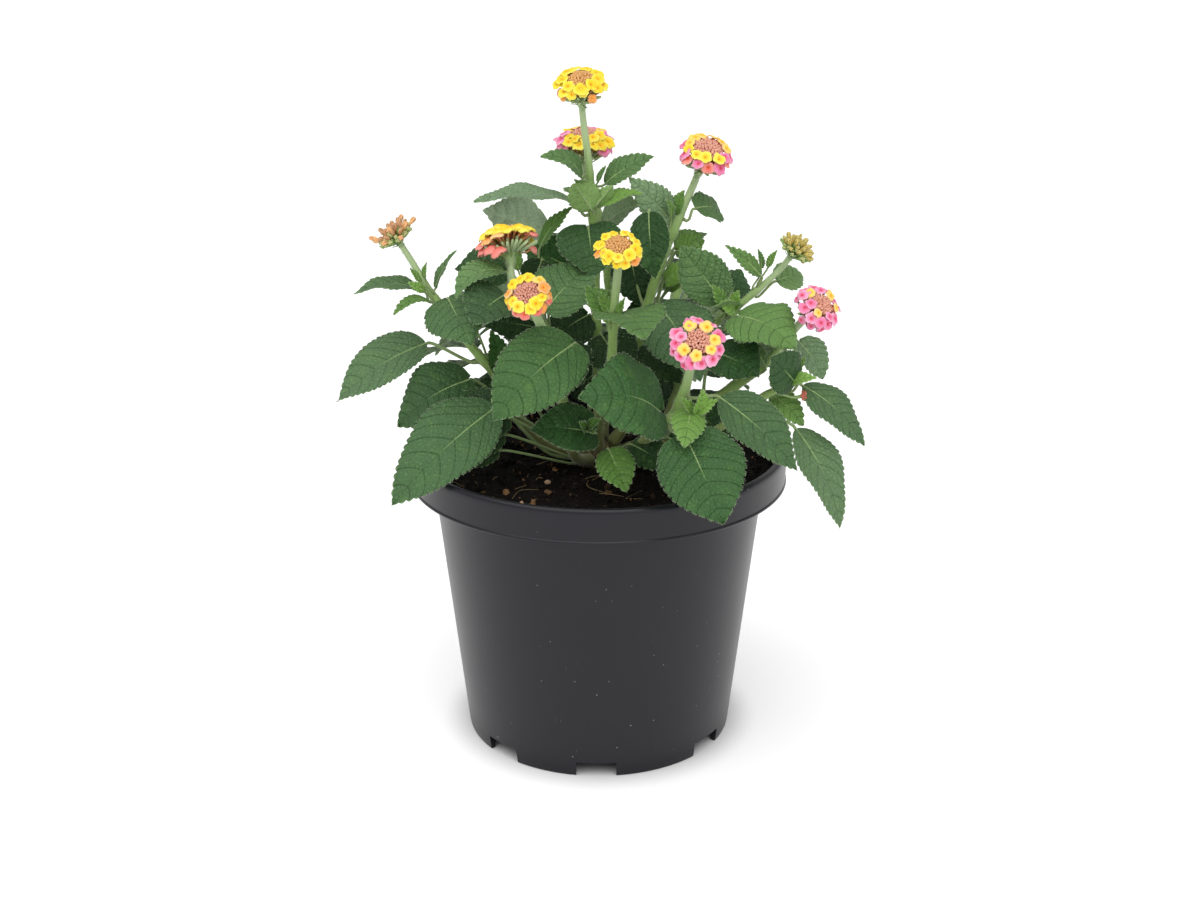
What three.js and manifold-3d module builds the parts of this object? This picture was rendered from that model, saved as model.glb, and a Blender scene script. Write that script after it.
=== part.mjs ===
// A lantana in its 19 cm nursery pot. Millimetres, +Z up.
// The origin is on the pot's axis, on the ground; the plant's front faces -Y.
import * as THREE from 'three';
import { mergeVertices } from 'three/addons/utils/BufferGeometryUtils.js';
import Module from 'manifold-3d';

const wasm = await Module();
wasm.setup();

// ---- Driving dimensions ----------------------------------------------------
const GAP = 0.3; // clearance between a piece and the piece that carries it

const POT = {
  height: 152.8,
  rimRadius: 95,
  lipRadius: 90, // inner edge of the rolled lip
  bandBottom: 135.2, // lower edge of the vertical rim band
  shoulderRadius: 83.6, // body radius just under the band
  footRadius: 68.7,
  wall: 1.8,
  floorBottom: 8,
  floorTop: 10,
  segments: 40,
};
const NOTCH = { width: 20, height: 6.8, depth: 14 };
const NOTCH_ANGLES = [-45, -1, 53, 104, 154, 206, 260]; // degrees from the front
const DRAIN = { count: 7, radius: 4.5, circle: 48, sides: 8 };

const SOIL = { edge: 141, middle: 143.5, middleRadius: 55 };
const CROWN = { radius: 13, centre: 141, rootRadius: 7, rootBottom: 112 };

const LEAF = {
  thickness: 0.9,
  fold: 0.16, // how far the blade's edges stand above its midrib, as a share of its half width
  stations: 9,
  tipHalf: 0.5,
  stalkRadius: 1,
  stalkOut: 2.5, // the stalk's first stretch, square to the shoot
  stalkRun: 2, // its last stretch, in line with the midrib
};
const STEM = { sides: 6, step: 16 }; // step: length between two rings

// ---- Materials ---------------------------------------------------------------
const look = (color, roughness) =>
  new THREE.MeshStandardMaterial({ color, roughness, metalness: 0 });
const PLASTIC = look(0x34353a, 0.42);
const SOIL_LOOK = look(0x2a211c, 0.95);
const WOOD = look(0x6d5f42, 0.85);
const GREEN_STEM = look(0x8fa35f, 0.7);
const LEAF_GREEN = look(0x55733f, 0.6);
const YELLOW = look(0xf0cf3c, 0.65);
const PINK = look(0xe89aa2, 0.65);
const PEACH = look(0xd9a27c, 0.65);
const BUD_GREEN = look(0x9aa05c, 0.65);

// ---- Small helpers -------------------------------------------------------------
const vec = (p) => new THREE.Vector3(...p);

function toSolid(geometry) {
  const bare = geometry.clone();
  bare.deleteAttribute('normal');
  bare.deleteAttribute('uv');
  const merged = mergeVertices(bare, 1e-3);
  return new wasm.Manifold(new wasm.Mesh({
    numProp: 3,
    vertProperties: merged.attributes.position.array,
    triVerts: new Uint32Array(merged.index.array),
  }));
}

function toGeometry(solid) {
  const { vertProperties, triVerts } = solid.getMesh();
  const geometry = new THREE.BufferGeometry();
  geometry.setAttribute('position', new THREE.BufferAttribute(vertProperties, 3));
  geometry.setIndex(new THREE.BufferAttribute(triVerts, 1));
  geometry.computeVertexNormals();
  return geometry;
}

const part = new THREE.Group();

function add(name, geometry, material) {
  const mesh = new THREE.Mesh(geometry, material);
  mesh.name = name;
  part.add(mesh);
}

// Skins a row of rings that all have the same number of points, and closes both ends.
function loft(rings) {
  const count = rings[0].length;
  const points = rings.flat().flatMap((p) => [p.x, p.y, p.z]);
  const index = [];
  for (let r = 0; r < rings.length - 1; r++) {
    for (let i = 0; i < count; i++) {
      const a = r * count + i;
      const b = r * count + ((i + 1) % count);
      index.push(a, b, b + count, a, b + count, a + count);
    }
  }
  const last = (rings.length - 1) * count;
  for (let i = 1; i < count - 1; i++) {
    index.push(0, i + 1, i);
    index.push(last, last + i, last + i + 1);
  }
  const geometry = new THREE.BufferGeometry();
  geometry.setAttribute('position', new THREE.Float32BufferAttribute(points, 3));
  geometry.setIndex(index);
  geometry.computeVertexNormals();
  return geometry;
}

// ---- Nursery pot -----------------------------------------------------------------
function potOutline() {
  const p = POT;
  return [
    [0, p.floorBottom],
    [p.footRadius - 4, p.floorBottom],
    [p.footRadius - 2.6, 0],
    [p.footRadius, 0],
    [p.shoulderRadius, p.bandBottom],
    [p.rimRadius - 0.4, p.bandBottom],
    [p.rimRadius, p.height - 2.2],
    [p.rimRadius - 2, p.height],
    [p.lipRadius + 0.6, p.height],
    [p.lipRadius - 1.2, p.bandBottom + 2.6],
    [p.shoulderRadius - p.wall, p.bandBottom - 1.5],
    [p.footRadius - 1.2, p.floorTop],
    [0, p.floorTop],
  ].map(([r, z]) => new THREE.Vector2(r, z));
}

// A cutter stood on the pot's axis and turned to an angle counted from the front.
function cutter(geometry, angle, radius, z) {
  geometry.translate(0, -radius, z);
  geometry.rotateZ(THREE.MathUtils.degToRad(angle));
  return toSolid(geometry);
}

function makePot() {
  const lathe = new THREE.LatheGeometry(potOutline(), POT.segments);
  let solid = toSolid(lathe.rotateX(Math.PI / 2));
  for (const angle of NOTCH_ANGLES) {
    const box = new THREE.BoxGeometry(NOTCH.width, NOTCH.depth, 2 * NOTCH.height);
    solid = solid.subtract(cutter(box, angle, POT.footRadius, 0));
  }
  for (let i = 0; i < DRAIN.count; i++) {
    const hole = new THREE.CylinderGeometry(DRAIN.radius, DRAIN.radius, 12, DRAIN.sides);
    hole.rotateX(Math.PI / 2);
    solid = solid.subtract(cutter(hole, (i * 360) / DRAIN.count, DRAIN.circle, POT.floorTop));
  }
  return toGeometry(solid);
}

// ---- Soil and crown ----------------------------------------------------------------
// The crown is the woody knuckle that every shoot grows from: a dome above the soil on a stub in it.
function crownOutline(clearance) {
  const domeArc = [-12, 0, 20, 40, 60, 78].map((degrees) => {
    const a = THREE.MathUtils.degToRad(degrees);
    const r = CROWN.radius + clearance;
    return [r * Math.cos(a), CROWN.centre + r * Math.sin(a)];
  });
  return [[0, CROWN.rootBottom - clearance], [CROWN.rootRadius + clearance, CROWN.rootBottom - clearance],
    ...domeArc, [0, CROWN.centre + CROWN.radius + clearance]];
}

function makeCrown() {
  const outline = crownOutline(0).map(([r, z]) => new THREE.Vector2(r, z));
  return new THREE.LatheGeometry(outline, 20).rotateX(Math.PI / 2);
}

function makeSoil() {
  const inner = (r) => r - GAP;
  const risen = (SOIL.edge - POT.bandBottom - 2.6) / (POT.height - POT.bandBottom - 2.6);
  const outline = [
    [0, POT.floorTop + GAP],
    [inner(POT.footRadius - 1.2), POT.floorTop + GAP],
    [inner(POT.shoulderRadius - POT.wall), POT.bandBottom - 1.5 + GAP],
    [inner(POT.lipRadius - 1.2), POT.bandBottom + 2.6 + GAP],
    [inner(POT.lipRadius - 1.2 + 1.8 * risen), SOIL.edge],
    [SOIL.middleRadius, SOIL.middle - 0.8],
    [20, SOIL.middle],
    [0, SOIL.middle],
  ].map(([r, z]) => new THREE.Vector2(r, z));
  const soil = toSolid(new THREE.LatheGeometry(outline, POT.segments).rotateX(Math.PI / 2));
  const socket = crownOutline(GAP).map(([r, z]) => new THREE.Vector2(r, z));
  const plug = toSolid(new THREE.LatheGeometry(socket, 20).rotateX(Math.PI / 2));
  return toGeometry(soil.subtract(plug));
}

// ---- Shoots --------------------------------------------------------------------------
// Each shoot leaves the crown's dome towards its first waypoint and ends at its last one,
// or below its flower head where it has one.
const SHOOTS = {
  top: { via: [[0, -1, 172], [-1, 8, 209], [-2, 12, 243], [-3, 12, 268], [-5, 11, 294]], low: 3.0, high: 1.6 },
  rear_top: { via: [[4, 17, 167], [6, 26, 208], [4, 36, 237], [0, 40, 262]], low: 2.8, high: 1.7 },
  tall_right: { via: [[16, 0, 167], [23, 8, 215], [31, 12, 243], [41, 14, 268]], low: 3.1, high: 1.8 },
  front: { via: [[0, -17, 167], [6, -42, 207], [7, -46, 232]], low: 2.8, high: 1.9 },
  left_mid: { via: [[-16, -3, 167], [-24, -15, 211], [-34, -18, 232]], low: 2.8, high: 1.9 },
  left_front: { via: [[-12, -29, 156], [-19, -43, 200], [-26, -49, 225]], low: 2.8, high: 2.1 },
  front_right: { via: [[9, -30, 155], [32, -62, 184], [39, -73, 202]], low: 2.8, high: 2.1 },
  right_low: { via: [[30, -10, 154], [55, -30, 184], [79, -32, 203]], low: 2.9, high: 1.9 },
  left_tall: { via: [[-31, -2, 155], [-53, -8, 193], [-65, -8, 208], [-79, -8, 228]], low: 2.9, high: 1.5 },
  right_tall: { via: [[30, 6, 156], [50, 0, 206], [68, -4, 224]], low: 2.9, high: 1.5 },
  right_side: { via: [[24, -25, 155], [56, -44, 174], [79, -46, 192], [93, -44, 198]], low: 2.4, high: 1.7 },
  rear_left: { via: [[-16, 26, 156], [-30, 62, 200], [-40, 80, 218]], low: 2.8, high: 1.8 },
  rear_right: { via: [[15, 27, 156], [36, 64, 198], [44, 82, 214]], low: 2.8, high: 1.8 },
};

// Flower heads: where the neck meets the shoot, which way the head looks, and its width.
const HEADS = {
  top: { neck: [-8, 10, 320], axis: [0, -0.25, 0.97], width: 27, stage: 'open' },
  rear_top: { neck: [-7, 43, 285], axis: [0, -0.1, 0.99], width: 32, stage: 'open' },
  tall_right: { neck: [49, 19, 286], axis: [0.3, -0.35, 0.88], width: 29, stage: 'open' },
  front: { neck: [9, -50, 258], axis: [0, -0.75, 0.66], width: 24, stage: 'open' },
  left_mid: { neck: [-42, -20, 250], axis: [-0.1, 0.15, 0.98], width: 30, stage: 'open' },
  left_front: { neck: [-31, -56, 239], axis: [-0.1, -0.8, 0.6], width: 24, stage: 'open' },
  front_right: { neck: [43, -83, 225], axis: [0.05, -0.85, 0.5], width: 26, stage: 'open' },
  right_low: { neck: [99, -31, 226], axis: [0.45, -0.6, 0.66], width: 25, stage: 'open' },
  left_tall: { neck: [-95, -9, 256], axis: [-0.5, -0.1, 0.86], width: 20, stage: 'bud' },
  right_tall: { neck: [93, -1, 248], axis: [0.55, -0.2, 0.8], width: 17, stage: 'bud' },
};
const HEAD_LOOKS = {
  top: YELLOW, rear_top: PINK, tall_right: YELLOW, front: YELLOW, left_mid: YELLOW,
  left_front: YELLOW, front_right: PINK, right_low: PINK, left_tall: PEACH, right_tall: BUD_GREEN,
};
const NECK_STRAIGHT = 8; // the shoot's last stretch, in line with the head

function onCrown(toward) {
  const centre = new THREE.Vector3(0, 0, CROWN.centre);
  const direction = vec(toward).sub(centre).normalize();
  return centre.addScaledVector(direction, CROWN.radius + GAP);
}

function shootCurve(name) {
  const { via } = SHOOTS[name];
  const points = [onCrown(via[0]), ...via.map(vec)];
  const head = HEADS[name];
  if (head) {
    const neck = vec(head.neck);
    const axis = vec(head.axis).normalize();
    points.push(neck.clone().addScaledVector(axis, -NECK_STRAIGHT), neck);
  }
  return new THREE.CatmullRomCurve3(points, false, 'centripetal');
}

// ---- Leaves ----------------------------------------------------------------------------
// Half the blade's width as a share of its widest half width, from base (0) to tip (1).
const bladeShare = (s) => Math.sin(Math.PI * s ** 0.62) ** 0.85 * (1 - 0.12 * s);

// One leaf. from: how far up its shoot its stalk starts, as a share of the shoot's length, or the
// point that the stalk passes when it starts on the crown. base, tip: the blade's two ends.
// faces: where the upper side looks. arch: the midrib's bow as a share of the blade's length.
const leaf = (on, from, base, tip, width, faces, arch) => (
  { on, from, base, tip, width, faces, arch }
);

const LEAVES = {
  top_left_long: leaf('top', 0.68, [-13, 6, 270], [-57, -8, 276], 24, [0, -0.15, 1], 0.12),
  top_right: leaf('top', 0.76, [3, 12, 282], [27, 14, 295], 14, [0.1, -0.6, 0.8], 0.1),
  top_heart: leaf('top', 0.58, [-5, 2, 262], [-2, -22, 243], 32, [0, -0.9, 0.4], 0.1),
  rear_pale_left: leaf('rear_top', 0.7, [-26, 48, 252], [-59, 56, 262], 38, [-0.2, 0.55, 0.8], 0.08),
  dark_right: leaf('tall_right', 0.7, [24, -6, 271], [27, -20, 242], 20, [-0.3, -0.9, 0.3], 0.08),
  left_mid_high: leaf('left_mid', 0.7, [-25, -30, 230], [-4, -12, 247], 30, [0.1, -0.6, 0.8], 0.08),
  left_mid_rugged: leaf('left_mid', 0.72, [-45, -32, 237], [-59, -47, 227], 30, [-0.1, -0.7, 0.7], 0.1),
  front_heart: leaf('front', 0.78, [10, -52, 233], [21, -80, 230], 34, [0.15, -0.5, 0.85], 0.12),
  centre_right: leaf('tall_right', 0.5, [29, -12, 227], [48, -54, 202], 38, [0.1, -0.7, 0.7], 0.1),
  under_pink: leaf('right_low', 0.5, [55, -35, 210], [75, -54, 204], 28, [0.1, -0.6, 0.8], 0.08),
  side_front: leaf('right_side', 0.94, [92, -50, 200], [79, -60, 215], 22, [0.3, -0.85, 0.3], 0.06),
  side_far: leaf('right_side', 0.97, [97, -43, 196], [127.5, -52, 169], 21, [0.1, -0.5, 0.8], 0.1),
  side_hang: leaf('right_side', 0.8, [94, -48, 176], [116, -64, 131], 24, [0.4, -0.7, 0.5], 0.1),
  right_rim: leaf('front_right', 0.75, [56, -72, 199], [92, -84, 168], 26, [0.1, -0.7, 0.7], 0.08),
  front_drop: leaf('front_right', 0.6, [40, -86, 184], [56, -110, 152], 40, [0.05, -0.9, 0.5], 0.06),
  centre_front: leaf('front_right', 0.6, [28, -70, 192], [-9, -86, 203], 44, [0, -0.65, 0.75], 0.2),
  low_left_dark: leaf('left_front', 0.3, [-2, -60, 178], [-32, -70, 183], 25, [0, -0.75, 0.65], 0.12),
  low_front_small: leaf('front_right', 0.2, [5, -62, 170], [13, -80, 156], 18, [0, -0.85, 0.55], 0.08),
  front_big: leaf('left_front', 0.7, [-12, -53, 219], [-49, -81, 191], 42, [-0.05, -0.8, 0.6], 0.12),
  left_rim_big: leaf('crown', [-25, -18, 153], [-50, -34, 182], [-99, -61, 142], 42, [-0.1, -0.75, 0.65], 0.08),
  left_low_dark: leaf('left_tall', 0.4, [-64, -18, 191], [-98, -28, 170], 36, [-0.1, -0.7, 0.7], 0.16),
  left_far: leaf('left_tall', 0.52, [-86, -2, 205], [-130, -12, 178], 30, [-0.1, -0.6, 0.8], 0.1),
  left_heart: leaf('left_tall', 0.68, [-72, -20, 232], [-60, -46, 217], 31, [0, -0.85, 0.5], 0.08),
  left_out: leaf('left_tall', 0.78, [-86, -6, 233], [-119, -12, 233], 16, [0, -0.2, 1], 0.14),
  right_folded: leaf('right_tall', 0.62, [59, -10, 230], [40, -2, 254], 24, [-0.3, -0.75, 0.5], 0.06),
  right_shelf: leaf('right_tall', 0.68, [67, -28, 226], [92, -52, 217], 34, [0.1, -0.6, 0.8], 0.12),
  tall_right_out: leaf('tall_right', 0.82, [48, 12, 270], [62, 26, 264], 20, [0.1, -0.6, 0.8], 0.14),
  right_tall_right: leaf('right_tall', 0.82, [88, 3, 236], [102, 10, 236], 18, [0, -0.6, 0.8], 0.1),
  rear_left_end: leaf('rear_left', 0.9, [-44, 86, 214], [-56, 112, 186], 32, [-0.2, 0.7, 0.7], 0.12),
  rear_left_side: leaf('rear_left', 0.66, [-46, 64, 200], [-90, 74, 178], 30, [-0.3, 0.4, 0.85], 0.12),
  rear_right_end: leaf('rear_right', 0.9, [50, 88, 210], [62, 110, 180], 32, [0.2, 0.7, 0.7], 0.12),
  rear_right_side: leaf('rear_right', 0.66, [52, 64, 198], [94, 70, 178], 30, [0.3, 0.3, 0.9], 0.12),
  rear_low_left: leaf('crown', [-3, 28, 150], [-8, 52, 170], [-20, 106, 156], 36, [0, 0.4, 0.9], 0.14),
  rear_low_right: leaf('crown', [22, 18, 150], [30, 48, 168], [54, 92, 158], 34, [0, 0.4, 0.9], 0.14),
};

// The other leaves are one piece with the shoot that they grow from.
const JOINED_LEAVES = [
  leaf('top', 0.8, [-8, 9, 286], [-28, 2, 297], 14, [-0.3, -0.5, 0.8], 0.22),
  leaf('top', 0.72, [-3, 4, 275], [-12, -12, 288], 18, [-0.3, 0.75, 0.5], 0.05),
  leaf('top', 0.74, [1, 8, 272], [21, -4, 280], 14, [0.2, -0.5, 0.8], 0.1),
  leaf('top', 0.66, [2, 15, 262], [21, 34, 268], 22, [0.3, 0.5, 0.8], 0.08),
  leaf('top', 0.5, [-14, 12, 240], [-37, 12, 250], 24, [0.1, -0.8, 0.5], 0.08),
  leaf('top', 0.4, [-8, 16, 222], [-30, 34, 214], 24, [-0.2, 0.3, 0.9], 0.12),
  leaf('rear_top', 0.4, [-6, 35, 204], [-38, 50, 196], 28, [-0.2, 0.4, 0.9], 0.12),
  leaf('rear_top', 0.4, [17, 36, 206], [47, 48, 202], 26, [0.2, 0.4, 0.9], 0.12),
  leaf('rear_top', 0.58, [7, 48, 238], [14, 80, 228], 30, [0, 0.5, 0.85], 0.14),
  leaf('rear_top', 0.62, [-5, 47, 244], [-24, 72, 238], 24, [-0.1, 0.5, 0.85], 0.14),
  leaf('rear_top', 0.78, [-5, 45, 266], [-18, 60, 271], 15, [-0.3, 0.3, 0.9], 0.12),
  leaf('rear_top', 0.78, [5, 45, 265], [22, 56, 268], 15, [0.3, 0.3, 0.9], 0.12),
  leaf('tall_right', 0.8, [36, 12, 263], [15, 6, 286], 18, [-0.3, -0.7, 0.6], 0.08),
  leaf('tall_right', 0.42, [30, 22, 218], [48, 48, 208], 26, [0.2, 0.4, 0.9], 0.12),
  leaf('tall_right', 0.66, [40, 26, 250], [50, 48, 250], 22, [0.1, 0.3, 0.9], 0.1),
  leaf('left_tall', 0.76, [-81, -12, 229], [-98, -26, 226], 9, [0, -0.2, 1], 0.2),
  leaf('left_tall', 0.8, [-80, -4, 234], [-70, 4, 251], 9, [-0.8, -0.4, 0.3], 0.06),
  leaf('left_tall', 0.42, [-52, 8, 190], [-76, 34, 180], 28, [-0.2, 0.3, 0.9], 0.12),
  leaf('left_tall', 0.64, [-68, 4, 214], [-86, 24, 210], 20, [-0.1, 0.3, 0.9], 0.1),
  leaf('left_mid', 0.9, [-44, -22, 246], [-69, -32, 235], 15, [-0.1, -0.4, 0.9], 0.28),
  leaf('left_mid', 0.75, [-45, 4, 240], [-71, 6, 241], 24, [0, -0.7, 0.7], 0.1),
  leaf('left_mid', 0.5, [-26, 0, 206], [-46, 26, 198], 26, [-0.2, 0.3, 0.9], 0.12),
  leaf('front', 0.74, [5, -48, 232], [-6, -41, 244], 13, [0.5, -0.8, 0.2], 0.05),
  leaf('front_right', 0.78, [42, -78, 196], [38, -98, 184], 16, [0, -0.8, 0.6], 0.06),
  leaf('right_low', 0.72, [77, -33, 204], [70, -22, 214], 11, [-0.5, -0.7, 0.3], 0.12),
  leaf('right_low', 0.6, [76, -14, 196], [100, 4, 188], 24, [0.2, 0.1, 0.9], 0.1),
  leaf('right_tall', 0.84, [79, -5, 240], [61, -8, 256], 13, [-0.3, -0.6, 0.6], 0.12),
  leaf('right_tall', 0.7, [67, -14, 226], [55, -24, 230], 13, [0, 0.5, 0.8], 0.05),
  leaf('right_tall', 0.6, [64, 10, 223], [72, 26, 236], 20, [0.2, -0.8, 0.4], 0.06),
  leaf('right_tall', 0.5, [60, 14, 204], [84, 34, 198], 26, [0.2, 0.3, 0.9], 0.12),
  leaf('right_side', 0.86, [84, -40, 192], [98, -50, 179], 14, [0.5, 0.5, 0.5], 0.08),
  leaf('rear_left', 0.9, [-34, 86, 220], [-14, 106, 208], 26, [0.1, 0.7, 0.7], 0.12),
  leaf('rear_left', 0.55, [-16, 62, 190], [6, 84, 182], 28, [0, 0.5, 0.85], 0.12),
  leaf('rear_left', 0.97, [-43, 82, 222], [-52, 90, 238], 10, [0.5, -0.7, 0.4], 0.1),
  leaf('rear_right', 0.9, [40, 90, 214], [24, 108, 200], 24, [0, 0.7, 0.7], 0.12),
  leaf('rear_right', 0.97, [46, 85, 218], [56, 92, 234], 10, [-0.5, -0.7, 0.4], 0.1),
];

// The point where a leaf's stalk starts: on its shoot's surface, or on its middle line if joined.
function stalkStart(spec, curve, joined) {
  if (spec.on === 'crown') {
    const start = onCrown(spec.from);
    return { start, out: start.clone().sub(new THREE.Vector3(0, 0, CROWN.centre)).normalize() };
  }
  const point = curve.getPointAt(spec.from);
  const along = curve.getTangentAt(spec.from);
  const out = vec(spec.base).sub(point);
  out.addScaledVector(along, -out.dot(along)).normalize();
  const { low, high } = SHOOTS[spec.on];
  const radius = low + (high - low) * spec.from;
  return { start: point.clone().addScaledVector(out, joined ? 0 : radius + GAP), out };
}

// One flat four-point ring: left edge, top, right edge, underside.
function leafRing(centre, side, up, half, lift, thickness) {
  return [
    centre.clone().addScaledVector(side, -half).addScaledVector(up, lift),
    centre.clone().addScaledVector(up, thickness / 2),
    centre.clone().addScaledVector(side, half).addScaledVector(up, lift),
    centre.clone().addScaledVector(up, -thickness / 2),
  ];
}

function makeLeaf(spec, curve, joined) {
  const { start, out } = stalkStart(spec, curve, joined);
  const base = vec(spec.base);
  const along = vec(spec.tip).sub(base);
  const length = along.length();
  const direction = along.clone().normalize();
  const up = vec(spec.faces);
  up.addScaledVector(direction, -up.dot(direction)).normalize();
  const side = new THREE.Vector3().crossVectors(direction, up);
  const bow = 4 * spec.arch * length;
  const rise = direction.clone().addScaledVector(up, 4 * spec.arch).normalize();
  const stalkPoints = [start, start.clone().addScaledVector(out, LEAF.stalkOut)];
  if (spec.on === 'crown') {
    stalkPoints.push(vec(spec.from));
  }
  stalkPoints.push(base.clone().addScaledVector(rise, -LEAF.stalkRun), base);
  const stalk = new THREE.CatmullRomCurve3(stalkPoints, false, 'centripetal');
  const steps = Math.max(3, Math.round(stalk.getLength() / STEM.step) + 2);
  const rings = [];
  for (let i = 0; i < steps; i++) {
    const tangent = stalk.getTangentAt(i / steps);
    const ringSide = side.clone().addScaledVector(tangent, -side.dot(tangent));
    if (ringSide.length() < 0.3) {
      ringSide.crossVectors(tangent, up);
    }
    ringSide.normalize();
    const ringUp = new THREE.Vector3().crossVectors(ringSide, tangent);
    const r = LEAF.stalkRadius;
    rings.push(leafRing(stalk.getPointAt(i / steps), ringSide, ringUp, r, 0, 2 * r));
  }
  for (let i = 0; i <= LEAF.stations; i++) {
    const s = i / LEAF.stations;
    const centre = base.clone().addScaledVector(along, s).addScaledVector(up, bow * s * (1 - s));
    const tangent = along.clone().addScaledVector(up, bow * (1 - 2 * s)).normalize();
    const ringUp = new THREE.Vector3().crossVectors(side, tangent);
    const widest = spec.width / 2;
    const half = Math.max(i ? LEAF.tipHalf : LEAF.stalkRadius, widest * bladeShare(s));
    const thickness = LEAF.thickness * (i ? 1 : 2) * (i < LEAF.stations ? 1 : 0.5);
    rings.push(leafRing(centre, side, ringUp, half, LEAF.fold * half, thickness));
  }
  return loft(rings);
}

function makeShoot(name) {
  const { low, high } = SHOOTS[name];
  const curve = shootCurve(name);
  const steps = Math.round(curve.getLength() / STEM.step);
  const frames = curve.computeFrenetFrames(steps, false);
  const rings = [];
  for (let i = 0; i <= steps; i++) {
    const centre = curve.getPointAt(i / steps);
    const radius = low + ((high - low) * i) / steps;
    rings.push(Array.from({ length: STEM.sides }, (_, k) => {
      const a = (2 * Math.PI * k) / STEM.sides;
      return centre.clone()
        .addScaledVector(frames.normals[i], radius * Math.cos(a))
        .addScaledVector(frames.binormals[i], radius * Math.sin(a));
    }));
  }
  let solid = toSolid(loft(rings));
  for (const spec of JOINED_LEAVES.filter((joined) => joined.on === name)) {
    solid = solid.add(toSolid(makeLeaf(spec, curve, true)));
  }
  return toGeometry(solid);
}

// ---- Flower heads ------------------------------------------------------------------------
// Radius and height as shares of the head's width, from the neck to the crown of the head.
const HEAD_OUTLINES = {
  open: [[0, 0], [0.07, 0], [0.08, 0.06], [0.2, 0.2], [0.38, 0.26], [0.5, 0.3], [0.5, 0.38],
    [0.42, 0.54], [0.28, 0.66], [0.14, 0.72], [0, 0.74]],
  bud: [[0, 0], [0.08, 0], [0.13, 0.08], [0.26, 0.3], [0.46, 0.54], [0.5, 0.66],
    [0.36, 0.76], [0.18, 0.8], [0, 0.82]],
};

function makeHead({ neck, axis, width, stage }) {
  const outline = HEAD_OUTLINES[stage].map(([r, z]) => new THREE.Vector2(r * width, z * width));
  const geometry = new THREE.LatheGeometry(outline, 14).rotateX(Math.PI / 2);
  const up = vec(axis).normalize();
  geometry.applyQuaternion(new THREE.Quaternion().setFromUnitVectors(new THREE.Vector3(0, 0, 1), up));
  const place = vec(neck).addScaledVector(up, GAP);
  return geometry.translate(place.x, place.y, place.z);
}

// ---- The whole plant -------------------------------------------------------------------------
add('nursery_pot', makePot(), PLASTIC);
add('potting_soil', makeSoil(), SOIL_LOOK);
add('crown', makeCrown(), WOOD);
for (const name of Object.keys(SHOOTS)) {
  add(`stem_${name}`, makeShoot(name), GREEN_STEM);
}
for (const [name, head] of Object.entries(HEADS)) {
  add(`flower_head_${name}`, makeHead(head), HEAD_LOOKS[name]);
}
for (const [name, spec] of Object.entries(LEAVES)) {
  const curve = spec.on === 'crown' ? null : shootCurve(spec.on);
  add(`leaf_${name}`, makeLeaf(spec, curve, false), LEAF_GREEN);
}

export default part;
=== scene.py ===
"""A flowering lantana in its round nursery pot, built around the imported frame."""

import math

import bpy
import numpy as np
from bpy.props import FloatProperty, FloatVectorProperty, IntProperty, PointerProperty
from mathutils import Matrix, Vector, noise


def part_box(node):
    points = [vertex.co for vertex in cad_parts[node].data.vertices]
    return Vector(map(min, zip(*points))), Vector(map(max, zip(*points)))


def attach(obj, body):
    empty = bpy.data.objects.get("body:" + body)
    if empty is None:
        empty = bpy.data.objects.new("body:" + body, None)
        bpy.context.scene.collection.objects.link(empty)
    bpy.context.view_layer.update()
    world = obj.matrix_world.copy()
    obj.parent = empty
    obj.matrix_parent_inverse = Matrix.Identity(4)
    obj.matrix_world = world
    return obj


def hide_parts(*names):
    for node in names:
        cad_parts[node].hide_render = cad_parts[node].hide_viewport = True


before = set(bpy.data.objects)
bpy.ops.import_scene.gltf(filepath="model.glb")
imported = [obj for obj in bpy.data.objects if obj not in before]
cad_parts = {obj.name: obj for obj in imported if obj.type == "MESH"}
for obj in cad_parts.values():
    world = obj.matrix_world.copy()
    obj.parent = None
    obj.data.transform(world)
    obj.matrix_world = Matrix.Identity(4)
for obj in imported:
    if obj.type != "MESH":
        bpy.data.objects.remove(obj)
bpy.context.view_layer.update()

bl_info = {
    "name": "Potted lantana",
    "version": (1, 0, 0),
    "blender": (4, 5, 0),
    "location": "3D View > Sidebar > Lantana",
    "description": "Builds a lantana plant with its leaves, flower heads, soil and nursery pot",
    "category": "Add Mesh",
}

MM = 0.001
TURN = 2 * math.pi
GOLDEN_ANGLE = math.radians(137.508)

# ---- The plant's plan, in millimetres ---------------------------------------------------------
# The origin is on the pot's axis, on the ground. The plant's front looks along -Y.

GAP = 0.3  # clearance between a piece and the piece that carries it
CROWN = {"radius": 13, "centre": 141, "root_radius": 7, "root_bottom": 112}

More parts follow.
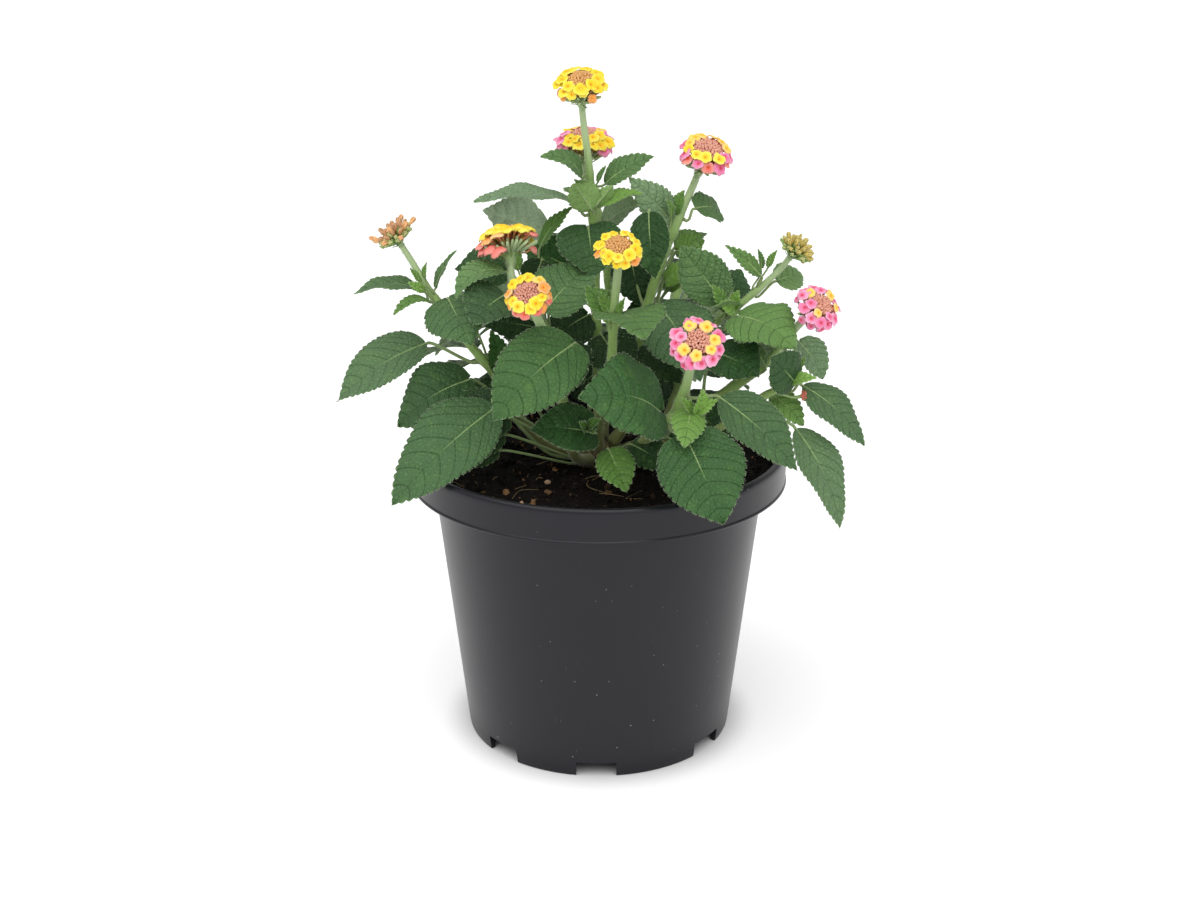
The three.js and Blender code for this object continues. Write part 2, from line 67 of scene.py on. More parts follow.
# Each shoot: its waypoints after the crown, and its radius at the crown and at its end.
SHOOTS = {
    "top": ([(0, -1, 172), (-1, 8, 209), (-2, 12, 243), (-3, 12, 268), (-5, 11, 294)], 3.0, 1.6),
    "rear_top": ([(4, 17, 167), (6, 26, 208), (4, 36, 237), (0, 40, 262)], 2.8, 1.7),
    "tall_right": ([(16, 0, 167), (23, 8, 215), (31, 12, 243), (41, 14, 268)], 3.1, 1.8),
    "front": ([(0, -17, 167), (6, -42, 207), (7, -46, 232)], 2.8, 1.9),
    "left_mid": ([(-16, -3, 167), (-24, -15, 211), (-34, -18, 232)], 2.8, 1.9),
    "left_front": ([(-12, -29, 156), (-19, -43, 200), (-26, -49, 225)], 2.8, 2.1),
    "front_right": ([(9, -30, 155), (32, -62, 184), (39, -73, 202)], 2.8, 2.1),
    "right_low": ([(30, -10, 154), (55, -30, 184), (79, -32, 203)], 2.9, 1.9),
    "left_tall": ([(-31, -2, 155), (-53, -8, 193), (-65, -8, 208), (-79, -8, 228)], 2.9, 1.5),
    "right_tall": ([(30, 6, 156), (50, 0, 206), (68, -4, 224)], 2.9, 1.5),
    "right_side": ([(24, -25, 155), (56, -44, 174), (79, -46, 192), (93, -44, 198)], 2.4, 1.7),
    "rear_left": ([(-16, 26, 156), (-30, 62, 200), (-40, 80, 218)], 2.8, 1.8),
    "rear_right": ([(15, 27, 156), (36, 64, 198), (44, 82, 214)], 2.8, 1.8),
}
YOUNG_HEAD = {"on": "right_side", "share": 0.9, "way": [(92, -46, 191), (96, -47.5, 192)], "buds": 22}
NECK_STRAIGHT = 8  # a shoot's last stretch, in line with its flower head

# Each flower head: where its neck is, which way it looks, and its width.
HEADS = {
    "top": ((-8, 10, 320), (-0.08, -0.2, 0.97), 27),
    "rear_top": ((-7, 43, 285), (0, -0.1, 0.99), 32),
    "tall_right": ((49, 19, 286), (0.3, -0.35, 0.88), 29),
    "front": ((9, -50, 258), (0, -0.75, 0.66), 24),
    "left_mid": ((-42, -20, 250), (-0.1, 0.15, 0.98), 30),
    "left_front": ((-31, -56, 239), (-0.1, -0.8, 0.6), 24),
    "front_right": ((43, -83, 225), (0.05, -0.85, 0.5), 26),
    "right_low": ((99, -31, 226), (0.45, -0.6, 0.66), 25),
    "left_tall": ((-95, -9, 256), (-0.5, -0.1, 0.86), 20),
    "right_tall": ((93, -1, 248), (0.55, -0.2, 0.8), 18.5),
}

# Each leaf: its shoot, where its stalk starts (how far up the shoot, or the point that the stalk
# passes when it starts on the crown), the blade's two ends, its width, where the upper side looks,
# the midrib's bow as a share of the blade's length, how young it is (0 to 1; near 0 the leaf is darker,
# partly as an older leaf and partly as painted shade for a leaf in the plant's shadow), and its painted
# sheen (0 to 1), a pale greyish green that stands for light off its hairs and from the white surroundings.
LEAVES = {
    "top_left_long": ("top", 0.68, (-13, 6, 275), (-60, -8, 278), 21, (0, -0.15, 1), 0.08, 0.3, 1),
    "top_right": ("top", 0.76, (3, 12, 282), (27, 14, 295), 14, (0.1, -0.6, 0.8), 0.1, 0.5, 0.3),
    "top_heart": ("top", 0.58, (-5, 2, 262), (-2, -22, 243), 32, (0, -0.9, 0.4), 0.1, 0.15, 0.1),
    "rear_pale_left": ("rear_top", 0.7, (-29, 49, 249), (-60, 56, 260), 38, (-0.1, 0.8, 0.5), 0.06, 0.3, 1),
    "dark_right": ("tall_right", 0.7, (24, -6, 271), (27, -20, 242), 20, (-0.3, -0.9, 0.3), 0.08, 0.1, 0),
    "left_mid_high": ("left_mid", 0.7, (-25, -30, 230), (-4, -12, 247), 30, (0.1, -0.6, 0.8),
        0.08, 0.35, 0.3),
    "left_mid_rugged": ("left_mid", 0.72, (-45, -32, 237), (-59, -47, 227), 30, (-0.1, -0.7, 0.7),
        0.1, 0.1, 0.2),
    "front_heart": ("front", 0.78, (10, -52, 233), (21, -80, 230), 34, (0.15, -0.5, 0.85), 0.12, 0.5, 0.2),
    "centre_right": ("tall_right", 0.5, (29, -12, 227), (48, -54, 202), 38, (0.1, -0.7, 0.7), 0.1, 0.2, 0.3),
    "under_pink": ("right_low", 0.5, (55, -35, 210), (75, -54, 204), 28, (0.1, -0.6, 0.8), 0.08, 0.1, 0),
    "side_front": ("right_side", 0.94, (92, -50, 200), (79, -60, 215), 22, (0.3, -0.85, 0.3),
        0.06, 0.15, 0.1),
    "side_far": ("right_side", 0.97, (97, -43, 196), (127.5, -52, 169), 21, (0.1, -0.5, 0.8), 0.1, 0.3, 0.4),
    "side_hang": ("right_side", 0.8, (94, -48, 176), (116, -64, 131), 24, (0.4, -0.7, 0.5), 0.1, 0.3, 0.6),
    "right_rim": ("front_right", 0.75, (56, -72, 199), (92, -84, 168), 26, (0.1, -0.7, 0.7), 0.08, 0.3, 0.3),
    "front_drop": ("front_right", 0.6, (40, -86, 184), (56, -110, 152), 40, (0.05, -0.9, 0.5),
        0.06, 0.3, 0.15),
    "centre_front": ("front_right", 0.6, (28, -70, 192), (-9, -86, 203), 44, (0, -0.65, 0.75),
        0.2, 0.3, 0.1),
    "low_left_dark": ("left_front", 0.3, (-2, -60, 178), (-32, -70, 183), 25, (0, -0.75, 0.65),
        0.12, 0.12, 0),
    "low_front_small": ("front_right", 0.2, (5, -62, 170), (13, -80, 156), 18, (0, -0.85, 0.55),
        0.08, 0.6, 0),
    "front_big": ("left_front", 0.7, (-12, -53, 219), (-49, -81, 191), 38, (-0.05, -0.8, 0.6),
        0.12, 0.32, 0.15),
    "left_rim_big": ("crown", (-25, -18, 153), (-50, -34, 182), (-99, -61, 142), 38, (-0.1, -0.75, 0.65),
        0.08, 0.3, 0.3),
    "left_low_dark": ("left_tall", 0.4, (-64, -18, 191), (-98, -28, 170), 36, (-0.1, -0.7, 0.7),
        0.16, 0.18, 0.15),
    "left_far": ("left_tall", 0.52, (-86, -2, 205), (-130, -12, 178), 30, (-0.1, -0.6, 0.8), 0.1, 0.3, 0.5),
    "left_heart": ("left_tall", 0.68, (-72, -20, 232), (-60, -46, 217), 31, (0, -0.85, 0.5),
        0.08, 0.35, 0.3),
    "left_out": ("left_tall", 0.78, (-86, -6, 233), (-119, -12, 233), 16, (0, -0.2, 1), 0.14, 0.4, 0.4),
    "right_folded": ("right_tall", 0.62, (59, -10, 230), (40, -2, 254), 24, (-0.3, -0.75, 0.5),
        0.06, 0.4, 0.3),
    "right_shelf": ("right_tall", 0.68, (67, -28, 226), (92, -52, 217), 34, (0.1, -0.6, 0.8),
        0.12, 0.6, 0.2),
    "tall_right_out": ("tall_right", 0.82, (48, 12, 270), (62, 26, 264), 20, (0.1, -0.6, 0.8),
        0.14, 0.4, 0.3),
    "right_tall_right": ("right_tall", 0.82, (88, 3, 236), (102, 10, 236), 18, (0, -0.6, 0.8),
        0.1, 0.7, 0.5),
    "rear_left_end": ("rear_left", 0.9, (-44, 86, 214), (-56, 112, 186), 32, (-0.2, 0.7, 0.7),
        0.12, 0.4, 0.2),
    "rear_left_side": ("rear_left", 0.66, (-46, 64, 200), (-90, 74, 178), 30, (-0.3, 0.4, 0.85),
        0.12, 0.3, 0.2),
    "rear_right_end": ("rear_right", 0.9, (50, 88, 210), (62, 110, 180), 32, (0.2, 0.7, 0.7),
        0.12, 0.4, 0.2),
    "rear_right_side": ("rear_right", 0.66, (52, 64, 198), (94, 70, 178), 30, (0.3, 0.3, 0.9),
        0.12, 0.3, 0.2),
    "rear_low_left": ("crown", (-3, 28, 150), (-8, 52, 170), (-20, 106, 156), 36, (0, 0.4, 0.9),
        0.14, 0.2, 0.2),
    "rear_low_right": ("crown", (22, 18, 150), (30, 48, 168), (54, 92, 158), 34, (0, 0.4, 0.9),
        0.14, 0.2, 0.2),
}

# The smaller leaves, which are one piece for each shoot, or for the crown. A row says what a leaf's row
# above says after the shoot. The pieces' order and the rows' order fix their random numbers.
SMALL_LEAVES = {
    "top": [
        (0.745, (-0.8, 11, 283), (3.6, 11, 291), 4, (-0.8, -0.6, 0.1), 0.05, 0.6, 0.3),
        (0.7, (-3, 9, 276), (-12, 13, 284), 7, (0.4, -0.8, 0.3), 0.1, 0.8, 0.1),
        (0.3, (2, 0, 208), (14, -12, 190), 26, (0.1, -0.8, 0.5), 0.1, 0, 0),
        (0.34, (-6, 10, 216), (-24, 4, 204), 26, (-0.1, -0.7, 0.6), 0.1, 0, 0),
        (0.8, (-8, 9, 286), (-28, 2, 297), 14, (-0.3, -0.5, 0.8), 0.22, 0.5, 0.3),
        (0.72, (-3.6, 4, 271), (-12, -6, 286), 16, (-0.3, 0.75, 0.5), 0.05, 1, 0),
        (0.73, (-1, 4.5, 273), (7, 1, 283), 8, (0.3, 0.75, 0.5), 0.05, 1, 0),
        (0.74, (1, 8, 272), (21, -4, 280), 14, (0.2, -0.5, 0.8), 0.1, 0.9, 0),
        (0.66, (2, 15, 262), (21, 32, 268), 22, (0.2, 0.85, 0.4), 0.08, 0.5, 0.6),
        (0.5, (-14, 12, 240), (-37, 12, 250), 24, (0.1, -0.8, 0.5), 0.08, 0.3, 0),
        (0.4, (-8, 16, 222), (-30, 34, 214), 24, (-0.2, 0.3, 0.9), 0.12, 0.1, 0),
    ],
    "rear_top": [
        (0.3, (8, 36, 198), (24, 66, 188), 30, (0.1, 0.4, 0.9), 0.12, 0.1, 0.1),
        (0.5, (-4, 44, 226), (-32, 62, 218), 28, (-0.2, 0.4, 0.9), 0.12, 0.2, 0.2),
        (0.52, (12, 44, 228), (38, 60, 222), 28, (0.2, 0.4, 0.9), 0.12, 0.2, 0.2),
        (0.4, (-6, 35, 204), (-38, 50, 196), 28, (-0.2, 0.4, 0.9), 0.12, 0.1, 0.1),
        (0.4, (17, 36, 206), (47, 48, 202), 26, (0.2, 0.4, 0.9), 0.12, 0.1, 0.1),
        (0.58, (7, 48, 238), (14, 80, 228), 30, (0, 0.5, 0.85), 0.14, 0.3, 0.2),
        (0.62, (-5, 47, 244), (-24, 72, 238), 24, (-0.1, 0.5, 0.85), 0.14, 0.3, 0.2),
        (0.78, (-5, 45, 266), (-18, 60, 271), 15, (-0.3, 0.3, 0.9), 0.12, 0.6, 0.1),
        (0.78, (5, 45, 265), (22, 56, 268), 15, (0.3, 0.3, 0.9), 0.12, 0.6, 0.1),
        (0.2, (1, 24, 184), (-15, 32, 166), 24, (-0.1, -0.8, 0.5), 0.1, 0, 0),
    ],
    "tall_right": [
        (0.76, (37, 13, 267), (41.5, 10, 279), 8, (-0.5, -0.8, 0.2), 0.08, 0.7, 0.1),
        (0.77, (36, 10, 266), (33, 4, 276), 5, (0.6, -0.7, 0.2), 0.08, 0.8, 0.1),
        (0.62, (39.6, 20, 247), (53, 21, 252), 13, (-0.1, -0.95, 0.4), 0.06, 0.85, 0.1),
        (0.5, (32, 24, 229), (53, 26, 238), 9, (-0.2, -0.7, 0.7), 0.16, 0.95, 0),
        (0.46, (33, 22, 226), (37, 16, 236), 6, (-0.4, -0.8, 0.4), 0.1, 0.8, 0),
        (0.46, (35, 22, 226), (44, 18, 233), 6, (-0.4, -0.8, 0.4), 0.1, 0.8, 0),
        (0.36, (22, 22, 220), (21, 19, 199), 17, (0.1, -0.9, 0.4), 0.08, 0, 0),
        (0.3, (26, 0, 204), (40, -14, 188), 26, (0.1, -0.8, 0.6), 0.1, 0, 0),
        (0.5, (15.7, 22, 244.5), (20.7, 14, 219.8), 24, (0, -0.9, 0.4), 0.1, 0, 0),
        (0.45, (39, 24, 246), (52, 20, 254), 16, (0.1, -0.6, 0.8), 0.08, 0.8, 0.2),
        (0.3, (33, 14, 233), (48, 10, 242), 14, (0.1, -0.6, 0.8), 0.08, 1, 0),
        (0.22, (26, 26, 192), (40, 62, 180), 30, (0.1, 0.4, 0.9), 0.12, 0.15, 0.1),
        (0.36, (36, 12, 210), (62, 22, 204), 28, (0.2, 0.1, 1), 0.12, 0.2, 0.2),
        (0.56, (38, 26, 236), (58, 46, 230), 24, (0.3, 0.3, 0.9), 0.12, 0.3, 0.2),
        (0.8, (36, 12, 263), (15, 6, 286), 18, (-0.3, -0.7, 0.6), 0.08, 0.4, 1),
        (0.42, (30, 22, 218), (48, 48, 208), 26, (0.2, 0.4, 0.9), 0.12, 0.1, 0.1),
        (0.66, (40, 26, 250), (50, 48, 250), 22, (0.1, 0.3, 0.9), 0.1, 0.5, 0.2),
        (0.25, (28, 16, 187), (42, 26, 167), 24, (0.1, -0.8, 0.5), 0.1, 0, 0),
    ],
    "front": [
        (0.7, (6, -47, 229), (0, -47, 243), 7, (0.6, -0.8, 0.1), 0.06, 0.75, 0),
        (0.72, (8, -50, 230), (12, -52, 241), 5, (-0.6, -0.8, 0.1), 0.06, 0.8, 0),
        (0.7, (5, -50, 228), (4, -56, 236), 5, (-0.1, -0.7, 0.6), 0.1, 0.9, 0),
        (0.74, (5, -48, 232), (-6, -41, 244), 13, (0.5, -0.8, 0.2), 0.05, 0.6, 0),
    ],
    "left_mid": [
        (0.62, (-28, 0, 246), (-33, -2, 232), 17, (0.1, -0.95, 0.3), 0.06, 0, 0),
        (0.66, (-29, 6, 252), (-13, 8, 272), 9, (-0.7, -0.6, 0.3), 0.08, 0.6, 0),
        (0.4, (-20, -14, 206), (-8, -24, 190), 26, (0.1, -0.8, 0.5), 0.1, 0, 0),
        (0.44, (-30.2, 6, 210.6), (-56.5, -2, 213.8), 24, (-0.1, -0.7, 0.7), 0.12, 0, 0),
        (0.34, (-24, 6, 192), (-44, 36, 184), 28, (-0.1, 0.3, 0.9), 0.12, 0.1, 0.1),
        (0.6, (-38, 0, 226), (-62, 22, 218), 24, (-0.2, 0.2, 0.9), 0.12, 0.2, 0.2),
        (0.9, (-44, -22, 246), (-69, -32, 235), 15, (-0.1, -0.4, 0.9), 0.28, 0.5, 0.4),
        (0.75, (-45, 4, 240), (-71, 6, 241), 24, (0, -0.7, 0.7), 0.1, 0.2, 0.1),
        (0.5, (-26, 0, 206), (-46, 26, 198), 26, (-0.2, 0.3, 0.9), 0.12, 0.1, 0.1),
    ],
    "left_front": [
        (0.34, (-5, -61, 181), (1, -66, 187), 5, (-0.4, -0.8, 0.5), 0.08, 0.6, 0),
        (0.34, (-6, -62, 180), (-9, -68, 186), 5, (0.4, -0.8, 0.5), 0.08, 0.6, 0),
        (0.33, (-4, -61, 179), (-2, -69, 181), 4, (0, -0.6, 0.8), 0.08, 0.7, 0),
    ],
    "front_right": [
        (0.72, (45, -81, 194), (47, -84, 207), 8, (0.5, -0.8, 0.2), 0.08, 1, 0),
        (0.72, (44, -81, 195), (54, -84, 202), 7, (-0.4, -0.8, 0.5), 0.12, 1, 0),
        (0.7, (43, -80, 194), (37, -84, 203), 5, (0.5, -0.8, 0.3), 0.08, 0.9, 0),
        (0.78, (42, -78, 196), (38, -98, 184), 16, (0, -0.8, 0.6), 0.06, 0.8, 0.1),
    ],
    "right_low": [
        (0.66, (79.7, -35, 203), (68.5, -34, 218), 7, (0.3, -0.7, 0.5), 0.12, 0.5, 0.1),
        (0.62, (72, -16, 214), (92, -22, 203), 18, (0.2, 0.7, 0.7), 0.1, 0.3, 0.4),
        (0.35, (44, -34, 180), (64, -46, 168), 24, (0.1, -0.7, 0.7), 0.12, 0.05, 0),
        (0.7, (98, -14, 209), (110, -20, 192), 20, (0.4, -0.6, 0.6), 0.08, 0.3, 0.9),
        (0.72, (77, -33, 204), (70, -22, 214), 11, (-0.5, -0.7, 0.3), 0.12, 0.6, 0.1),
        (0.6, (76, -14, 196), (100, 4, 188), 24, (0.2, 0.1, 0.9), 0.1, 0.4, 0.2),
    ],
    "left_tall": [
        (0.8, (-86, -10, 238), (-91, -10, 245), 4, (0.7, -0.7, 0.2), 0.08, 0.8, 0.1),
        (0.77, (-84, -12, 234), (-92, -14, 239), 5, (0.2, -0.9, 0.5), 0.1, 0.95, 0),
        (0.8, (-84.5, -10, 240), (-83, -11, 248), 4, (-0.7, -0.7, 0.2), 0.08, 0.8, 0.1),
        (0.5, (-62, 2, 214), (-71, 6, 228), 13, (0.3, -0.9, 0.3), 0.06, 0.3, 0),
        (0.3, (-46, -14, 184), (-58, -34, 170), 24, (-0.1, -0.7, 0.7), 0.12, 0.05, 0),
        (0.3, (-48.4, -6, 190.3), (-52.6, -10, 214), 13, (0.5, -0.8, 0.2), 0.08, 0.4, 0),
        (0.3, (-44, 12, 180), (-76, 24, 168), 28, (-0.1, 0.2, 1), 0.12, 0.1, 0.1),
        (0.34, (-50, -4, 182), (-80, 2, 172), 26, (-0.1, 0, 1), 0.12, 0.1, 0.1),
        (0.5, (-62, 8, 200), (-92, 20, 190), 26, (-0.2, 0.2, 1), 0.12, 0.3, 0.2),
        (0.76, (-81, -12, 229), (-98, -26, 226), 9, (0, -0.2, 1), 0.2, 0.6, 0.1),
        (0.8, (-80, -4, 234), (-70, 4, 251), 9, (-0.8, -0.4, 0.3), 0.06, 0.5, 0.3),
        (0.42, (-52, 8, 190), (-76, 34, 180), 28, (-0.2, 0.3, 0.9), 0.12, 0.1, 0.1),
        (0.64, (-68, 4, 214), (-86, 24, 210), 20, (-0.1, 0.3, 0.9), 0.1, 0.4, 0.2),
    ],
    "right_tall": [
        (0.82, (79.6, -3, 243), (77.5, -4, 253), 4, (0.6, -0.8, 0.1), 0.06, 0.5, 0.2),
        (0.84, (82, -4, 244), (86, -6, 253), 4, (-0.6, -0.8, 0.1), 0.06, 0.8, 0.1),
        (0.6, (67, -16, 223), (58, -21, 231), 9, (0.1, -0.7, 0.7), 0.12, 1, 0),
        (0.6, (65, -15, 226), (67, -18, 236), 7, (-0.4, -0.8, 0.3), 0.06, 0.95, 0),
        (0.58, (62, -13, 224), (55, -14, 238), 8, (0.6, -0.7, 0.2), 0.06, 0.7, 0),
        (0.6, (77, -8, 219), (91, -14, 198), 20, (0.1, 0.8, 0.4), 0.08, 0.2, 1),
        (0.3, (42, 24, 188), (68, 52, 176), 30, (0.3, 0.3, 0.9), 0.12, 0.2, 0.2),
        (0.36, (46, -2, 190), (76, 8, 178), 26, (0.2, 0, 1), 0.12, 0.15, 0.1),
        (0.84, (79, -5, 240), (61, -8, 256), 8, (-0.3, -0.6, 0.6), 0.12, 0.6, 0.2),
        (0.7, (67, -14, 226), (55, -24, 230), 13, (0, 0.5, 0.8), 0.05, 0.9, 0.2),
        (0.6, (64, 10, 223), (72, 26, 236), 20, (0.2, -0.8, 0.4), 0.06, 0.2, 0.1),
        (0.5, (60, 14, 204), (84, 34, 198), 26, (0.2, 0.3, 0.9), 0.12, 0.2, 0.1),
    ],
    "right_side": [
        (0.93, (89.6, -49, 199), (102, -53, 203), 7, (-0.1, -0.6, 0.8), 0.14, 1, 0),
        (0.93, (91, -47, 201), (89.5, -49, 215), 5, (-0.6, -0.8, 0.1), 0.06, 0.85, 0),
        (0.95, (92, -45, 201), (97, -46, 211), 5, (-0.4, -0.8, 0.4), 0.08, 0.9, 0),
        (0.86, (83, -38, 190), (98, -46, 177), 14, (0.3, -0.75, 0.6), 0.08, 0.75, 0.2),
    ],
    "rear_left": [
        (0.36, (-26, 36, 182), (-58, 44, 172), 30, (-0.1, 0.3, 0.9), 0.12, 0.15, 0.2),
        (0.7, (-36, 60, 200), (-68, 60, 188), 28, (-0.3, 0.2, 0.9), 0.14, 0.25, 0.2),
        (0.9, (-34, 86, 220), (-14, 106, 208), 26, (0.1, 0.7, 0.7), 0.12, 0.4, 0.2),
        (0.55, (-16, 62, 190), (6, 84, 182), 28, (0, 0.5, 0.85), 0.12, 0.2, 0.2),
        (0.97, (-43, 82, 222), (-52, 90, 238), 10, (0.5, -0.7, 0.4), 0.1, 0.8, 0),
    ],
    "rear_right": [
        (0.42, (32, 38, 184), (64, 50, 172), 30, (0.2, 0.3, 0.9), 0.12, 0.15, 0.2),
        (0.72, (42, 64, 202), (72, 66, 190), 28, (0.3, 0.2, 0.9), 0.14, 0.25, 0.2),
        (0.34, (12, 42, 180), (2, 76, 170), 28, (0, 0.4, 0.9), 0.12, 0.1, 0.2),
        (0.9, (40, 90, 214), (24, 108, 200), 24, (0, 0.7, 0.7), 0.12, 0.4, 0.2),
        (0.97, (46, 85, 218), (56, 92, 234), 10, (-0.5, -0.7, 0.4), 0.1, 0.8, 0),
    ],
    "crown": [
        ((-20, -12, 157), (-46, -30, 180), (-76, -30, 178), 22, (0, -0.7, 0.7), 0.1, 0.05, 0.1),
        ((-18, -16, 155), (-44, -30, 175), (-72, -34, 168), 22, (0, -0.7, 0.7), 0.1, 0.05, 0.1),
        ((-16, -19, 152), (-46, -37, 169), (-72, -43, 160), 18, (0, -0.7, 0.7), 0.1, 0.05, 0.1),
        ((-14, -22, 149), (-48, -42, 163), (-70, -46, 158), 14, (0, -0.7, 0.7), 0.06, 0.05, 0.1),
        ((6, -24, 153), (16, -48, 168), (34, -62, 160), 18, (0, -0.7, 0.7), 0.1, 0.05, 0),
        ((14, -22, 153), (34, -50, 172), (54, -58, 166), 20, (0, -0.7, 0.7), 0.1, 0.05, 0),
        ((-22, 14, 151), (-40, 36, 170), (-68, 58, 160), 30, (-0.1, 0.3, 0.9), 0.14, 0.15, 0.2),
        ((24, 6, 150), (48, 20, 168), (78, 38, 162), 28, (0.1, 0.3, 0.9), 0.14, 0.15, 0.2),
    ],
}

# The places of the finishes on a piece with leaves, on a shoot or calyx, and on the loose soil.
UPPER, UNDER, STALK, LEAF_DOWN = range(4)
STEM, STEM_DOWN = range(2)
CRUMB, STRAW, PEBBLE = range(3)
STEM_SIDE = (1, 0.3, 0)  # where the first rib of a shoot looks
HAIR_RADIUS = 0.045
SOIL_SEED, HEAD_SEED = 11, 500


# ---- Small geometry -------------------------------------------------------------------------------
TINY = 1e-12
NOISE_GAIN = 1.6  # brings Blender's noise to about -1 to 1


def unit(vectors):
    """Vectors along the last axis, made one long."""
    vectors = np.asarray(vectors, float)
    return vectors / np.maximum(np.linalg.norm(vectors, axis=-1, keepdims=True), TINY)


def square_to(vector, direction):
    """The part of vector that is square to a unit direction, made one long."""
    return unit(vector - np.sum(vector * direction, -1, keepdims=True) * direction)


def ease(x, low, high):
    """0 up to low, 1 from high, and a smooth step between."""
    t = np.clip((np.asarray(x, float) - low) / (high - low), 0, 1)
    return t * t * (3 - 2 * t)


def around(count):
    """Angles that share out a full turn."""
    return np.linspace(0, TURN, count, endpoint=False)


def spokes(angles, first, second):
    """Directions at angles in the plane of two square vectors."""
    angles = np.asarray(angles)[..., None]
    return np.cos(angles) * first + np.sin(angles) * second


def triples(*columns):
    """Three numbers for each point, from rows of numbers or single ones."""
    return np.stack(np.broadcast_arrays(*columns), -1)


def circle(count, radius, height):
    """A level ring of points round the pot's axis."""
    angles = around(count)
    return np.stack([radius * np.cos(angles), radius * np.sin(angles), np.full(count, height)], -1)


def lumps(points, size, seed):
    """Smooth noise from -1 to 1 whose lumps have about this size."""
    scaled = np.asarray(points, float).reshape(-1, 3) / size + seed
    return np.array([noise.noise(Vector(p)) for p in scaled]) * NOISE_GAIN


def ring_faces(rows, count, flip=False):
    """The quads between rings of points."""
    r, c = np.meshgrid(np.arange(rows - 1) * count, np.arange(count), indexing="ij")
    a, b = r + c, r + (c + 1) % count
    quads = np.stack([a, b, b + count, a + count], -1).reshape(-1, 4)
    return quads[:, ::-1] if flip else quads


class Path:
    """A smooth centripetal curve through points, measured by its length."""

    MARKS = np.linspace(0, 1, 401)

    def __init__(self, points):
        self.points = np.array(points, float)
        ends = 2 * self.points[[0, -1]] - self.points[[1, -2]]
        self.padded = np.vstack([ends[:1], self.points, ends[1:]])
        steps = np.diff(self.at_parameter(self.MARKS), axis=0)
        self.run = np.concatenate([[0], np.cumsum(np.linalg.norm(steps, axis=1))])
        self.length = self.run[-1]

    def at_parameter(self, t):
        spans = len(self.points) - 1
        place = np.clip(t, 0, 1) * spans
        k = np.minimum(place.astype(int), spans - 1)
        w = (place - k)[:, None]
        p0, p1, p2, p3 = (self.padded[k + i] for i in range(4))
        d0, d1, d2 = (np.linalg.norm(b - a, axis=1, keepdims=True) ** 0.5
                      for a, b in ((p0, p1), (p1, p2), (p2, p3)))
        m1 = ((p1 - p0) / d0 - (p2 - p0) / (d0 + d1) + (p2 - p1) / d1) * d1
        m2 = ((p2 - p1) / d1 - (p3 - p1) / (d1 + d2) + (p3 - p2) / d2) * d1
        return (p1 + m1 * w + (3 * (p2 - p1) - 2 * m1 - m2) * w**2
                + (2 * (p1 - p2) + m1 + m2) * w**3)

    def at(self, share):
        """Points at shares of the length."""
        share = np.atleast_1d(np.asarray(share, float))
        return self.at_parameter(np.interp(share * self.length, self.run, self.MARKS))

    def toward(self, share, step=0.002):
        """Unit directions of the curve at shares of its length."""
        share = np.atleast_1d(np.asarray(share, float))
        return unit(self.at(np.minimum(share + step, 1)) - self.at(np.maximum(share - step, 0)))


